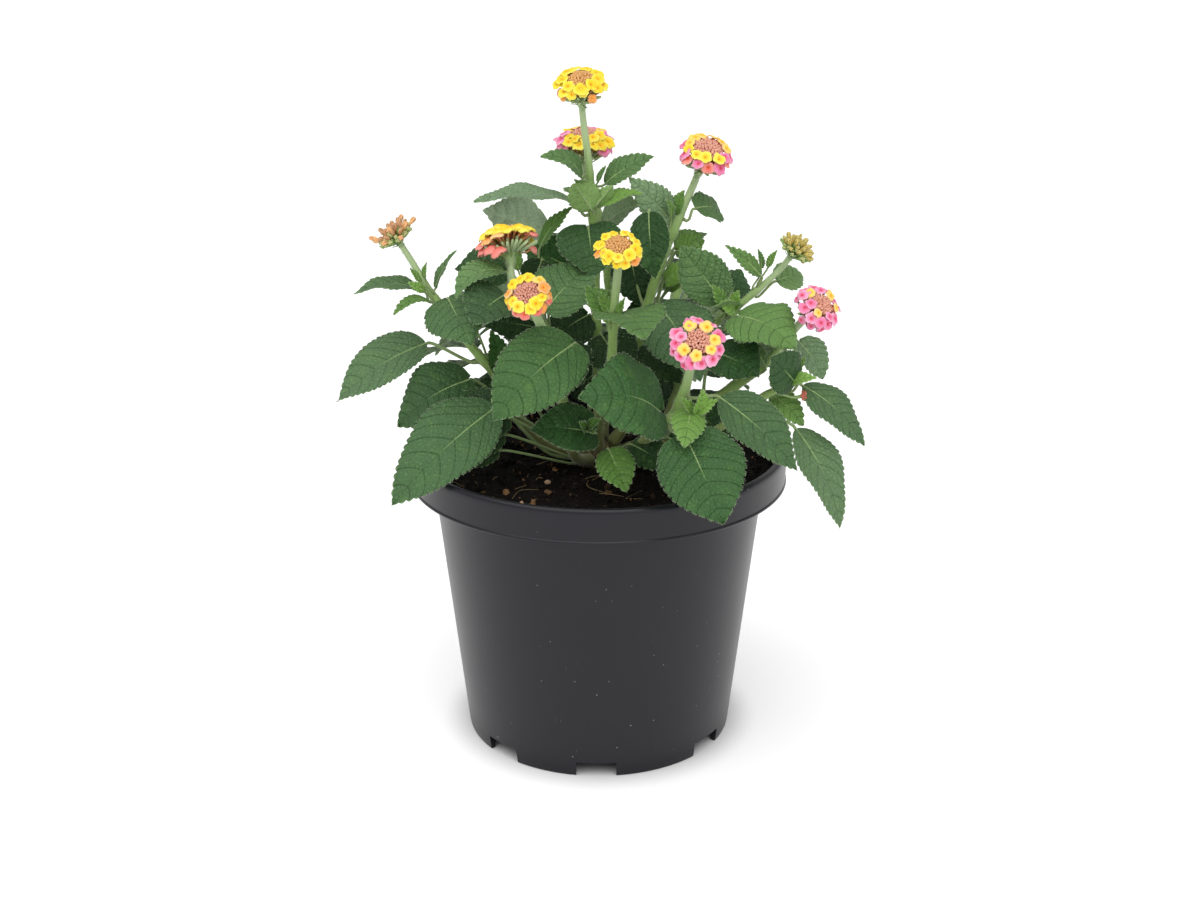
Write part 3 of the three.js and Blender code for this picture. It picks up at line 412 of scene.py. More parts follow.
class Skin:
    """The points, faces and point values of one piece while it is made, in millimetres."""

    def __init__(self):
        self.points, self.count, self.values = [], 0, {}
        self.faces = {size: [np.zeros((0, size), int)] for size in (4, 3)}
        self.slots = {4: [], 3: []}

    def join(self, faces, slot, start):
        """Adds faces between points that are there, numbered from start."""
        faces = np.asarray(faces, int)
        self.faces[faces.shape[1]].append(faces + start)
        self.slots[faces.shape[1]].append(np.full(len(faces), slot))

    def add(self, points, faces, slot=0, **values):
        """Adds points and faces. values gives three numbers for each point, or one row for all."""
        points = np.asarray(points, float).reshape(-1, 3)
        start = self.count
        self.join(faces, slot, start)
        for name, rows in values.items():
            rows = np.broadcast_to(np.asarray(rows, float), (len(points), 3))
            self.values.setdefault(name, []).append((start, rows))
        self.points.append(points)
        self.count += len(points)
        return start

    def rings(self, rings, ends, slot=0, flip=False, **values):
        """Adds a closed body of rings, drawn together to a point at each end."""
        rows, count = rings.shape[:2]
        points = np.vstack([rings.reshape(-1, 3), ends])
        start = self.add(points, ring_faces(rows, count, flip), slot, **values)
        near = np.arange(count)
        far = (near + 1) % count
        if flip:
            near, far = far, near
        low, last = np.full(count, rows * count), (rows - 1) * count
        caps = [np.stack([low, far, near], 1), np.stack([low + 1, last + near, last + far], 1)]
        self.join(np.vstack(caps), slot, start)

    def lathe(self, outline, count):
        """Adds a turned body. The outline starts and ends on the axis and its faces look out."""
        (_, low), *inner, (_, high) = outline
        rings = np.array([circle(count, radius, height) for radius, height in inner])
        self.rings(rings, [(0, 0, low), (0, 0, high)], flip=True)

    def tube(self, centres, side, radii, count=8, slot=0, section=None, **values):
        """Adds a closed tube round a row of centres; section scales the radius at each angle."""
        centres = np.asarray(centres, float)
        directions = unit(np.gradient(centres, axis=0))
        sides = [square_to(np.asarray(side, float), directions[0])]
        for direction in directions[1:]:
            sides.append(square_to(sides[-1], direction))
        sides = np.array(sides)
        others = np.cross(directions, sides)
        angles = around(count)
        shape = np.ones(count) if section is None else section(angles)
        radii = np.broadcast_to(np.asarray(radii, float), len(centres))
        spread = radii[:, None, None] * shape[None, :, None]
        rings = centres[:, None] + spread * spokes(angles, sides[:, None], others[:, None])
        for name, rows in values.items():
            rows = np.broadcast_to(rows, (len(centres), 3))
            values[name] = np.concatenate([np.repeat(rows, count, axis=0), rows[[0, -1]]])
        self.rings(rings, centres[[0, -1]], slot, **values)

    def hairs(self, roots, ways, lengths, radius, slot):
        """Adds a thin three-sided hair at each root."""
        roots, ways = np.asarray(roots, float), unit(ways)
        steep = np.abs(ways[:, 2:]) >= 0.8
        helper = np.where(steep, [[1.0, 0, 0]], [[0, 0, 1.0]])
        first = unit(np.cross(ways, helper))
        second = np.cross(ways, first)
        base = [roots + radius * (math.cos(a) * first + math.sin(a) * second)
                for a in (0, TURN / 3, 2 * TURN / 3)]
        points = np.stack([*base, roots + ways * np.asarray(lengths)[:, None]], 1)
        k = 4 * np.arange(len(roots))[:, None]
        faces = np.concatenate([k + row for row in ([0, 1, 3], [1, 2, 3], [2, 0, 3], [2, 1, 0])])
        self.add(points, faces, slot)

    def piece(self, name, finishes=(), keep_flat=()):
        """Makes the Blender object and gives it its finishes."""
        mesh = bpy.data.meshes.new(name)
        quads, tris = (np.vstack(self.faces[size]) for size in (4, 3))
        corners = np.concatenate([quads.ravel(), tris.ravel()])
        starts = np.concatenate([np.arange(len(quads)) * 4, len(quads) * 4 + np.arange(len(tris)) * 3])
        mesh.vertices.add(self.count)
        mesh.vertices.foreach_set("co", (np.vstack(self.points) * MM).astype(np.float32).ravel())
        mesh.loops.add(len(corners))
        mesh.loops.foreach_set("vertex_index", corners.astype(np.int32))
        mesh.polygons.add(len(starts))
        mesh.polygons.foreach_set("loop_start", starts.astype(np.int32))
        slots = np.concatenate([*self.slots[4], *self.slots[3]]).astype(np.int32)
        mesh.polygons.foreach_set("material_index", slots)
        mesh.polygons.foreach_set("use_smooth", ~np.isin(slots, keep_flat))
        for value, parts in self.values.items():
            full = np.zeros((self.count, 3), np.float32)
            for start, rows in parts:
                full[start:start + len(rows)] = rows
            mesh.attributes.new(value, "FLOAT_VECTOR", "POINT").data.foreach_set("vector", full.ravel())
        mesh.update(calc_edges=True)
        mesh.validate()
        for finish in finishes:
            mesh.materials.append(finish)
        made = bpy.data.objects.new(name, mesh)
        bpy.context.scene.collection.objects.link(made)
        return made


def belong(piece, slot, *nodes):
    """Seats a finished piece on the frame."""
    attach(piece, "root")
    if nodes:
        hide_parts(*nodes)


# ---- Finishes ---------------------------------------------------------------------------------------
def maths(operation, swapped=False):
    """A method that puts a Math node on a wire and its other values."""
    def method(*values):
        inputs = dict(enumerate(values[::-1] if swapped else values))
        return values[0].finish.node("ShaderNodeMath", {"operation": operation}, inputs)
    return method


class Wire:
    """A shader value. Python sums on it add Math nodes."""

    def __init__(self, finish, socket):
        self.finish, self.socket = finish, socket

    __add__ = __radd__ = maths("ADD")
    __sub__ = maths("SUBTRACT")
    __rsub__ = maths("SUBTRACT", swapped=True)
    __mul__ = __rmul__ = maths("MULTIPLY")
    __truediv__ = maths("DIVIDE")
    __pow__ = maths("POWER")
    __abs__ = maths("ABSOLUTE")
    fraction = maths("FRACT")
    least = maths("MINIMUM")

    def step(self, low, high, start=0.0, end=1.0):
        """start up to low, end from high, and smooth between."""
        settings = {"interpolation_type": "SMOOTHSTEP"}
        inputs = {"Value": self, "From Min": low, "From Max": high, "To Min": start, "To Max": end}
        return self.finish.node("ShaderNodeMapRange", settings, inputs)


class Finish:
    """A procedural material while it is built. A colour is a wire or three linear numbers."""

    def __init__(self, name):
        self.material = bpy.data.materials.new(name)
        self.material.use_nodes = True
        self.tree = self.material.node_tree
        self.tree.nodes.clear()

    def node(self, kind, settings=None, inputs=None, output=0):
        """A node of this kind: its settings are set first, then the values or links of its sockets."""
        made = self.tree.nodes.new(kind)
        for key, value in (settings or {}).items():
            if key == "stops":
                self.set_stops(made.color_ramp, value)
            else:
                setattr(made, key, value)
        for key, value in (inputs or {}).items():
            if isinstance(value, Wire):
                self.tree.links.new(value.socket, made.inputs[key])
            else:
                made.inputs[key].default_value = value
        return Wire(self, made.outputs[output])

    @staticmethod
    def set_stops(ramp, stops):
        while len(ramp.elements) < len(stops):
            ramp.elements.new(1.0)
        for element, (place, colour) in zip(ramp.elements, stops):
            element.position = place
            element.color = (*colour, 1.0)

    def parts(self, vector):
        """The three numbers of a vector or colour."""
        return [self.node("ShaderNodeSeparateXYZ", None, {0: vector}, output=i) for i in range(3)]

    def attribute(self, name):
        """The three numbers that a piece's points carry under this name."""
        return self.parts(self.node("ShaderNodeAttribute", {"attribute_name": name}, output="Vector"))

    def place(self, stretch=(1, 1, 1)):
        """Millimetres in the piece's own space, each axis stretched."""
        metres = self.node("ShaderNodeTexCoord", output="Object")
        scale = [s / MM for s in stretch]
        return self.node("ShaderNodeVectorMath", {"operation": "MULTIPLY"}, {0: metres, 1: scale})

    def noise(self, size, at=None, detail=2.0, rough=0.5):
        """Noise from 0 to 1 whose lumps have this size, in the units of at."""
        inputs = {"Vector": at or self.place(), "Scale": 1 / size, "Detail": detail, "Roughness": rough}
        return self.node("ShaderNodeTexNoise", None, inputs)

    def cells(self, size, at=None, feature="F1", output="Distance"):
        inputs = {"Vector": at or self.place(), "Scale": 1 / size}
        return self.node("ShaderNodeTexVoronoi", {"feature": feature}, inputs, output)

    def blend(self, first, second, share):
        """Mixes two colours."""
        first, second = (c if isinstance(c, Wire) else (*c, 1.0) for c in (first, second))
        settings = {"data_type": "RGBA", "blend_type": "MIX", "clamp_factor": True}
        return self.node("ShaderNodeMix", settings, {0: share, 6: first, 7: second}, output=2)

    def relief(self, height, depth, strength=1.0):
        """A normal from a height of 0 to 1 that stands for this many millimetres."""
        inputs = {"Height": height, "Distance": depth * MM, "Strength": strength}
        return self.node("ShaderNodeBump", None, inputs, output="Normal")

    def surface(self, colour, roughness, normal=None, fixed=None):
        """The plain shader. Fixed values go straight onto its sockets."""
        inputs = {"Base Color": colour, "Roughness": roughness, **(fixed or {})}
        if normal:
            inputs["Normal"] = normal
        shader = self.node("ShaderNodeBsdfPrincipled", None, inputs, output="BSDF")
        output = self.tree.nodes.new("ShaderNodeOutputMaterial")
        self.tree.links.new(shader.socket, output.inputs["Surface"])
        return self.material


def tint(colour, factor):
    """A colour made lighter or darker."""
    return tuple(min(1.0, channel * factor) for channel in colour)


def rgb(*numbers):
    """Linear colour from the usual 0 to 255 numbers."""
    shares = (number / 255 for number in numbers)
    return tuple(s / 12.92 if s <= 0.04045 else ((s + 0.055) / 1.055) ** 2.4 for s in shares)


def plastic_finish(settings):
    """Black moulded plastic: satin, faintly cloudy, with dust specks and short scratches."""
    f = Finish("moulded_plastic")
    cloud = f.noise(38, detail=3)
    orange_peel = f.noise(0.7, detail=1)
    wanted = f.parts(f.cells(5.5, output="Color"))[0].step(0.62, 0.66)
    low = f.parts(f.place())[2].step(8, 70, 1, 0.3)
    dust = f.cells(5.5).step(0.03, 0.085, 1, 0) * wanted * low
    slanted = f.noise(1, at=f.place((0.9, 0.9, 0.045)))
    scratch = slanted.step(0.72, 0.76) * f.noise(17).step(0.52, 0.68)
    marks = (dust + scratch * 0.2).least(1.0) * settings.dust
    colour = f.blend(settings.plastic, tint(settings.plastic, 1.35), cloud)
    colour = f.blend(colour, rgb(186, 184, 178), marks)
    roughness = cloud * 0.07 + settings.roughness + marks * 0.25 - 0.035
    normal = f.relief(orange_peel * 0.5 + dust * 0.5, 0.02, 0.6)
    return f.surface(colour, roughness, normal, {"IOR": 1.42})


def peat_finish(settings):
    """Moist peat: nearly black brown with lighter grains."""
    f = Finish("peat")
    grain = f.noise(1.1, detail=6, rough=0.7)
    shade = grain.step(0.35, 0.75) * 0.65 + f.noise(9, detail=3).step(0.3, 0.8) * 0.35
    colour = f.blend(tint(settings.soil, 0.4), tint(settings.soil, 2.2), shade)
    grit = f.cells(1.7).step(0.1, 0.28, 1, 0) * f.noise(3.1).step(0.56, 0.66)
    colour = f.blend(colour, settings.soil_grain, grit * 0.7)
    normal = f.relief(grain + grit * 0.3, 1.1, 0.9)
    return f.surface(colour, 0.9 - grain * 0.2, normal, {"Specular IOR Level": 0.15})


def crumb_finish(settings):
    """Soil crumbs: each has its own brown, from near black to tan."""
    f = Finish("crumb")
    own, _, _ = f.attribute("grit")
    stops = [(0.0, tint(settings.soil, 0.6)), (0.62, tint(settings.soil, 2.2)),
             (0.86, tint(settings.soil_grain, 0.55)), (1.0, settings.soil_grain)]
    base = f.node("ShaderNodeValToRGB", {"stops": stops}, {0: own})
    grain = f.noise(0.5, detail=4)
    colour = f.blend(base, tint(settings.soil, 0.5), grain.step(0.45, 0.7) * 0.7)
    return f.surface(colour, 0.9 - grain * 0.2, f.relief(grain, 0.35), {"Specular IOR Level": 0.2})


def straw_finish():
    """Dry root fibre and straw."""
    f = Finish("straw")
    streak = f.noise(0.6, detail=3)
    colour = f.blend(rgb(84, 60, 38), rgb(190, 166, 122), streak)
    return f.surface(colour, 0.8 - streak * 0.1, f.relief(streak, 0.05))


def pebble_finish():
    """Grains of perlite and grit."""
    f = Finish("pebble")
    own, _, _ = f.attribute("grit")
    speckle = f.noise(0.5, detail=4)
    colour = f.blend(rgb(150, 108, 74), rgb(222, 190, 160), speckle * 0.5 + own * 0.5)
    return f.surface(colour, 0.8 - speckle * 0.1, f.relief(speckle, 0.2))


def stem_finish(name, base):
    """Green stem: lengthwise ribs, a paler young end, and an olive-brown foot where it is old."""
    f = Finish(name)
    _, age, fresh = f.attribute("stem")
    rib = f.noise(1, at=f.place((1.1, 1.1, 0.16)), detail=3)
    spot = f.noise(1.6, detail=3)
    colour = f.blend(tint(base, 0.72), tint(base, 1.18), rib)
    colour = f.blend(colour, f.blend(rgb(92, 92, 40), rgb(138, 124, 74), spot), age)
    colour = f.blend(colour, rgb(206, 220, 186), fresh * 0.55)
    normal = f.relief(rib * 0.6 + spot * 0.4, 0.3, 0.7)
    return f.surface(colour, 0.62 - spot * 0.12, normal, {"Sheen Weight": 0.35, "Sheen Roughness": 0.4})


def bark_finish():
    """Woody crown: cracked, ridged bark."""
    f = Finish("bark")
    ridge = f.cells(2.6, at=f.place((1, 1, 0.4)), feature="DISTANCE_TO_EDGE").step(0.02, 0.22)
    grain = f.noise(1.2, at=f.place((1, 1, 0.35)), detail=5)
    colour = f.blend(rgb(46, 36, 24), rgb(132, 118, 80), ridge * 0.6 + grain * 0.4)
    return f.surface(colour, 0.9 - grain * 0.15, f.relief(ridge * 0.7 + grain * 0.3, 0.8))


def down_finish():
    """The pale hairs on stems, leaves and calyxes."""
    f = Finish("down")
    shade = f.noise(4)
    return f.surface(f.blend(rgb(196, 212, 172), rgb(232, 240, 220), shade), 0.6 + shade * 0.1)


def leaf_finish(settings, upper):
    """A leaf's upper side, quilted between sunken veins, or its paler underside with raised veins."""
    f = Finish("leaf_upper" if upper else "leaf_underside")
    leaf, young_leaf, underside = settings.leaf, settings.young_leaf, settings.underside
    phase, across, rim = f.attribute("blade")
    young, painted_sheen, along = f.attribute("leaf")
    side_vein = abs((phase + 0.5).fraction() - 0.5).step(0.006, 0.06, 1, 0)
    midrib = (abs(across) / (0.3 - along * 0.22)).step(0.7, 1.5, 1, 0)
    forward, sideways, own = f.attribute("plan")
    plan = f.node("ShaderNodeCombineXYZ", None, {0: forward, 1: sideways, 2: own * 50})
    cell = f.cells(2.1, at=plan, feature="DISTANCE_TO_EDGE")
    network = cell.step(0.01, 0.1, 1, 0)
    cushion = cell.step(0, 0.36)
    drift = f.noise(7, detail=3)
    fleck = f.noise(0.55)
    if upper:
        rugged = 1 - young * 0.75
        # The ramp darkens the leaf towards a young value of 0, partly for an older leaf's own darker green
        # and partly as painted shade for the leaves that sit in the plant's shadow.
        stops = [(0.0, tint(leaf, 0.5)), (0.3, leaf), (1.0, young_leaf)]
        age = young + drift * 0.14 + own * 0.08 - 0.11
        colour = f.node("ShaderNodeValToRGB", {"stops": stops}, {0: age})
        # Painted sheen: a pale greyish green, with fine painted glints from the fleck noise, stands for light
        # shining off the leaf's hairs and reflected from the white surroundings.
        colour = f.blend(colour, rgb(146, 174, 134), painted_sheen * 0.6 + (fleck - 0.5) * 0.3)
        colour = f.blend(colour, young_leaf, drift.step(0.5, 0.8) * 0.12)
        # Painted shade: the side veins and the fine vein network between the cushions are darkened as if
        # shade lay in their grooves, less on leaves with more painted sheen.
        painted_groove_shade = (network * 0.2 + (1 - cushion) * 0.16) * rugged
        colour = f.blend(colour, tint(leaf, 0.3), side_vein * (0.38 - painted_sheen * 0.28) + painted_groove_shade)
        colour = f.blend(colour, rgb(150, 178, 120), rim.step(0.12, 0.5, 1, 0) * 0.4)
        # Painted shade in the midrib's groove towards the tip.
        colour = f.blend(colour, tint(leaf, 0.35), midrib * along.step(0.4, 0.75, 0, 0.5))
        colour = f.blend(colour, rgb(158, 184, 118), midrib * along.step(0.2, 0.6, 0.75, 0))
        normal = f.relief(cushion * rugged * 0.85 - side_vein * 0.55 + fleck * 0.2, 0.5)
        roughness = 0.5 + fleck * 0.12 - cushion * 0.06
    else:
        veins = (side_vein + network * 0.55).least(1.0)
        colour = f.blend(tint(underside, 0.92), tint(underside, 1.12), drift)
        colour = f.blend(colour, tint(young_leaf, 1.2), young * 0.7)
        # Painted sheen: a paler greyish green that stands for light on the underside.
        colour = f.blend(colour, rgb(158, 178, 152), painted_sheen * 0.6)
        colour = f.blend(colour, tint(underside, 0.62), cushion * 0.35)
        colour = f.blend(colour, rgb(178, 194, 150), (veins * 0.55 + midrib).least(1.0) * 0.8)
        normal = f.relief(veins * 0.8 + midrib + fleck * 0.2, 0.3, 0.8)
        roughness = 0.66 + fleck * 0.1
    return f.surface(colour, roughness, normal, {"Sheen Weight": 0.06, "Sheen Roughness": 0.4, "IOR": 1.38})


def petal_finish(name, limb, edge, throat, eye):
    """A floret: coloured limb, paler edge, a ring round the throat and a darker eye."""
    f = Finish(name)
    out, own, _ = f.attribute("floret")
    vein = f.noise(0.5, detail=3)
    colour = f.blend(limb, edge, out.step(0.5, 0.98) * 0.7 + (own - 0.5) * 0.6)
    colour = f.blend(colour, tint(limb, 0.82), vein.step(0.5, 0.75) * 0.3)
    colour = f.blend(throat, colour, out.step(0.14, 0.58))
    colour = f.blend(eye, colour, out.step(0.04, 0.13))
    glow = {"Subsurface Weight": 0.15, "Subsurface Radius": (0.002, 0.0012, 0.0008), "Subsurface Scale": 1.0}
    return f.surface(colour, 0.6 + vein * 0.08, f.relief(vein, 0.15, 0.6), glow)


def bud_finish(name, light, dark):
    """Closed buds: pale on top, with painted shade in lines where their lobes fold, and darker down their
    sides, partly in their own colour and partly as painted shade for the gaps between packed buds.
    """
    f = Finish(name)
    top, own, painted_crease_shade = f.attribute("floret")
    # Darker towards the foot, partly the bud's own colour and partly painted shade for the gaps between
    # packed buds.
    colour = f.blend(dark, light, top.step(0.3, 0.8) * 0.95 + own * 0.2 - 0.1)
    # Painted shade: dark lines across the top where the lobes fold.
    colour = f.blend(colour, tint(dark, 0.7), painted_crease_shade * 0.7)
    fuzz = f.noise(0.3)
    return f.surface(colour, 0.6 + fuzz * 0.1, f.relief(fuzz, 0.06))


# ---- Leaves and shoots ------------------------------------------------------------------------------
STEM_RING_GAP = 1.8
STEM_HAIRS = 9  # on each millimetre
STALK_RING_GAP = 1.6


def on_crown(toward):
    """Where a shoot or stalk that heads for a point leaves the crown's dome, and its direction."""
    centre = np.array([0, 0, CROWN["centre"]], float)
    way = unit(np.array(toward, float) - centre)
    return centre + way * (CROWN["radius"] + GAP), way


def shoot_path(name):
    waypoints = SHOOTS[name][0]
    points = [on_crown(waypoints[0])[0], *waypoints]
    if name in HEADS:
        neck, axis, _ = HEADS[name]
        points += [np.array(neck) - unit(axis) * NECK_STRAIGHT, neck]
    return Path(points)


def square_section(angles):
    """A stem's four-cornered cross-section with rounded ribs."""
    return 1 + 0.055 * np.cos(4 * angles) - 0.02 * np.cos(8 * angles)


class Blade:
    """The measures of one leaf, from its row in the plan."""

    FOLD = 0.16  # how far the edges stand above the midrib, as a share of the half width
    WAVE = 0.035  # how far the edge waves, as a share of the width
    THICKNESS = 0.3
    RIB, RIB_WIDTH = 0.8, 0.75  # the midrib below, and half its width
    GROOVE, GROOVE_WIDTH = 0.32, 0.8  # the midrib's groove above, and half its width
    QUILT, QUILTED_WIDTH = 0.027, 30  # how far the fields bulge for each millimetre of width, up to this
    TOOTH_DEPTH = 0.3  # as a share of a tooth's length
    COLUMNS = np.array([0, 0.03, 0.1, 0.2, 0.33, 0.47, 0.61, 0.74, 0.85, 0.94, 1.0])
    FEWER_COLUMNS = COLUMNS[[0, 2, 4, 6, 8, 9, 10]]
    ALL_COLUMNS_FROM = 22
    LEAST_VEINS = 5
    MORE_VEINS_FROM = (24, 38)  # the lengths from which a blade has one more pair of side veins
    TOOTH = ((0.0, 0.0), (0.2, 0.55), (0.45, 0.92), (0.68, 1.0), (0.86, 0.62))  # phase, height
    SMALL_TOOTH = ((0.0, 0.0), (0.35, 0.85), (0.72, 1.0))
    TOOTH_LENGTH = 2.7
    TEETH = (7, 21)  # the fewest and the most on a side

    def __init__(self, row, path, joined):
        on, start, base, tip, self.width, faces, arch, self.young, self.painted_sheen = row
        self.joined = joined
        self.base = np.array(base, float)
        self.along = np.array(tip, float) - self.base
        self.length = float(np.linalg.norm(self.along))
        self.direction = unit(self.along)
        self.up = square_to(np.array(faces, float), self.direction)
        self.side = np.cross(self.direction, self.up)
        self.bow = 4 * arch * self.length
        self.broad = float(ease(self.width / self.length, 0.45, 0.8))
        rise = unit(self.direction + self.up * 4 * arch)
        if on == "crown":
            foot, out = on_crown(start)
            stalk = [foot, foot + out * 2.5, start]
        else:
            middle, heading = path.at(start)[0], path.toward(start)[0]
            out = square_to(self.base - middle, heading)
            low, high = SHOOTS[on][1:]
            foot = middle + out * (0 if joined else low + (high - low) * start + GAP)
            stalk = [foot, foot + out * 2.5]
        self.stalk = Path([*stalk, self.base - rise * 2, self.base])

    def veins(self):
        return self.LEAST_VEINS + sum(self.length >= start for start in self.MORE_VEINS_FROM)

    def share(self, s):
        """Half the blade's width as a share of its widest half width, from base (0) to tip (1)."""
        s = np.clip(s, 0, 1)
        blunt = 0.8 - 0.3 * self.broad
        return np.maximum(np.sin(math.pi * s**0.72), 0) ** (blunt + (0.92 - blunt) * s)

    def middle(self, s):
        s = np.asarray(s, float)[..., None]
        return self.base + self.along * s + self.up * (self.bow * s * (1 - s))

    def lift(self, s):
        """The direction square to the midrib, out of the upper side."""
        s = np.asarray(s, float)[..., None]
        return np.cross(self.side, unit(self.along + self.up * (self.bow * (1 - 2 * s))))

    def stations(self):
        """Shares along the blade that catch each tooth's shape, and the tooth's height at each."""
        teeth = int(np.clip(round(self.length / self.TOOTH_LENGTH), *self.TEETH))
        shape = self.SMALL_TOOTH if self.joined else self.TOOTH
        marks = [((tooth + phase) / teeth, height) for tooth in range(teeth) for phase, height in shape]
        shares, heights = np.array([*marks, (1.0, 0.0)]).T
        return shares, heights, self.length / teeth


def vein_phase(s, u, count):
    """Grows by one from each side vein to the next. The veins leave the midrib and curve forward."""
    sweep = 0.3 * np.abs(u) + 0.12 * np.abs(u) ** 2.5
    return count * ((s - sweep) / (1 - sweep) * 0.94 + 0.08)


def add_leaf(skin, blade, rng, quilt):
    """Adds a toothed, quilted blade with its stalk and the hairs on its teeth."""
    s, tooth, spacing = blade.stations()
    columns = Blade.COLUMNS if blade.length > Blade.ALL_COLUMNS_FROM else Blade.FEWER_COLUMNS
    S, U = np.meshgrid(s, np.concatenate([-columns[:0:-1], columns]), indexing="ij")
    A = np.abs(U)
    half = np.maximum(blade.width / 2 * blade.share(S), np.where(S < 0.5, 1.0, 0.25))
    keep = ease(S, 0.0, 0.1) * (1 - ease(S, 0.93, 1.0))
    uneven = 1 + 0.25 * np.sin(S * 37 + np.sign(U) * 2 + rng.uniform(0, 6))
    depth = blade.TOOTH_DEPTH * spacing * keep * uneven
    reach = A**6
    height = tooth[:, None]
    wide = U * half + np.sign(U) * (height - 0.6) * depth * reach
    forward = (height - 0.5) * depth * reach * 0.4
    forward = forward - blade.broad * 0.07 * blade.width * A**1.7 * (1 - ease(S, 0, 0.28))
    across = np.abs(wide)
    phase = vein_phase(S, U, blade.veins())
    pillow = np.abs(np.sin(math.pi * phase)) ** 0.75
    rough_cells = np.sin(across * 1.9 + np.floor(phase) * 2.1) * np.sin(phase * 9.3 + across * 0.35)
    open_field = ease(across, 0.4, 2.2) * (1 - 0.55 * ease(A, 0.75, 1.0))
    amount = quilt * blade.QUILT * min(blade.width, blade.QUILTED_WIDTH) * (1 - 0.6 * blade.young)
    relief = amount * open_field * (pillow - 0.55 + 0.22 * rough_cells * pillow)
    relief -= blade.GROOVE * np.exp(-((across / blade.GROOVE_WIDTH) ** 2)) * (1 - S) ** 0.5
    waves, offsets = rng.uniform(1.3, 2.2), rng.uniform(0, 6.28, 2)
    swing = np.sin(TURN * waves * S + np.where(U < 0, *offsets))
    wave = blade.WAVE * blade.width * swing * A**2.2 * ease(S, 0, 0.2)
    curl, twist, droop = rng.uniform(-0.04, 0.2), rng.uniform(-0.22, 0.22), rng.uniform(0.0, 0.06)
    bend = twist * wide * ease(S, 0.15, 1) - curl * half * A**3 - droop * blade.length * S**3
    lifted = blade.FOLD * half * A**1.2 + wave + relief + bend
    lift = blade.lift(S)
    top = (blade.middle(S) + blade.direction * forward[..., None] + blade.side * wide[..., None]
           + lift * lifted[..., None])
    rib = blade.RIB * (1 - S) ** 0.7 * np.exp(-((across / blade.RIB_WIDTH) ** 2))
    rib = rib + 0.12 * (1 - pillow) * open_field
    thick = (blade.THICKNESS + rib) * np.sqrt(np.clip(1 - A**4, 0, 1))
    bottom = top - lift * thick[..., None]

    def both_sides(*layers):
        return np.vstack([triples(*layers).reshape(-1, 3)] * 2)

    values = {"blade": both_sides(phase, wide, (half - across).clip(0) + (1 - A) * 0.1),
              "leaf": both_sides(blade.young, blade.painted_sheen, S),
              "plan": both_sides(S * blade.length, wide, rng.uniform())}
    index = np.arange(S.size).reshape(S.shape)
    below = index + S.size
    below[:, [0, -1]] = index[:, [0, -1]]

    def quads(ids):
        return np.stack([ids[:-1, :-1], ids[:-1, 1:], ids[1:, 1:], ids[1:, :-1]], -1).reshape(-1, 4)

    start = skin.add(np.vstack([top.reshape(-1, 3), bottom.reshape(-1, 3)]), quads(index), UPPER, **values)
    skin.join(quads(below)[:, ::-1], UNDER, start)
    for row, turn in ((0, 1), (-1, -1)):
        above, under = index[row], below[row]
        edge = np.stack([above[:-1], under[:-1], under[1:], above[1:]], -1)
        skin.join(edge[1:-1, ::turn], UNDER, start)
        for corner, inner, way in ((0, 1, turn), (-1, -2, -turn)):
            face = np.array([[above[corner], under[inner], above[inner]]])
            skin.join(face[:, ::way], UNDER, start)
    add_stalk(skin, blade)
    edge = np.repeat(np.nonzero(tooth > 0.4)[0], 2)
    for column, way in ((0, -1), (-1, 1)):
        roots = top[edge, column] + blade.direction * rng.uniform(-0.3, 0.3, (len(edge), 1))
        ways = way * blade.side + blade.direction * rng.uniform(0, 0.9, (len(edge), 1))
        ways = ways + blade.up * rng.uniform(-0.3, 0.5, (len(edge), 1))
        skin.hairs(roots - unit(ways) * 0.1, ways, rng.uniform(0.35, 0.85, len(roots)), 0.05, LEAF_DOWN)


def add_stalk(skin, blade):
    """A leaf's stalk: round, running on under the midrib."""
    shares = np.linspace(0, 1, max(6, int(blade.stalk.length / STALK_RING_GAP)))
    centres = blade.stalk.at(shares) - blade.up * (0.75 * ease(shares, 0.6, 1))[:, None]
    centres = np.vstack([centres, blade.middle(np.array([0.04, 0.1])) - blade.up * 0.8])
    radii = np.concatenate([1.15 - 0.3 * ease(shares, 0, 0.25), [0.75, 0.35]])
    radii *= min(1.0, 0.5 + blade.width / 60)
    run = np.concatenate([shares, [1, 1]])
    skin.tube(centres, blade.side, radii, 8, STALK, stem=triples(run, 0.12 * (1 - run), 0.25))


def add_shoot(skin, name, rng):
    """A shoot: a four-cornered stem, swollen where leaves join it, with down all over."""
    path = shoot_path(name)
    _, low, high = SHOOTS[name]
    shares = np.linspace(0, 1, int(path.length / STEM_RING_GAP) + 1)
    joints = {row[1] for row in LEAVES.values() if row[0] == name}
    joints |= {row[0] for row in SMALL_LEAVES[name]}
    radii = 0.95 * (low + (high - low) * shares)
    for joint in sorted(joints):
        radii = radii * (1 + 0.16 * np.exp(-((shares - joint) * path.length / 2.4) ** 2))
    radii = radii * (1 + 0.2 * ease(-shares * path.length, -9, 0))
    centres = path.at(shares)
    age = 0.75 * (1 - ease(centres[:, 2], 150, 205)) + 0.05
    fresh = 0.1 + (0.8 * ease(shares, 0.72, 0.98) if name in HEADS else 0)
    skin.tube(centres, STEM_SIDE, radii, 16, STEM, section=square_section, stem=triples(shares, age, fresh))
    hairs = int(path.length * STEM_HAIRS)
    at = np.sort(rng.uniform(0.1, 1, hairs))
    middle, heading = path.at(at), path.toward(at)
    turn = rng.uniform(0, TURN, hairs)
    first = square_to(np.broadcast_to(STEM_SIDE, heading.shape), heading)
    out = spokes(turn, first, np.cross(heading, first))
    radius = np.interp(at, shares, radii)[:, None] * 0.96
    ways = out + heading * rng.uniform(-0.35, 0.45, (hairs, 1))
    skin.hairs(middle + out * radius, ways, rng.uniform(0.6, 1.8, hairs), HAIR_RADIUS, STEM_DOWN)


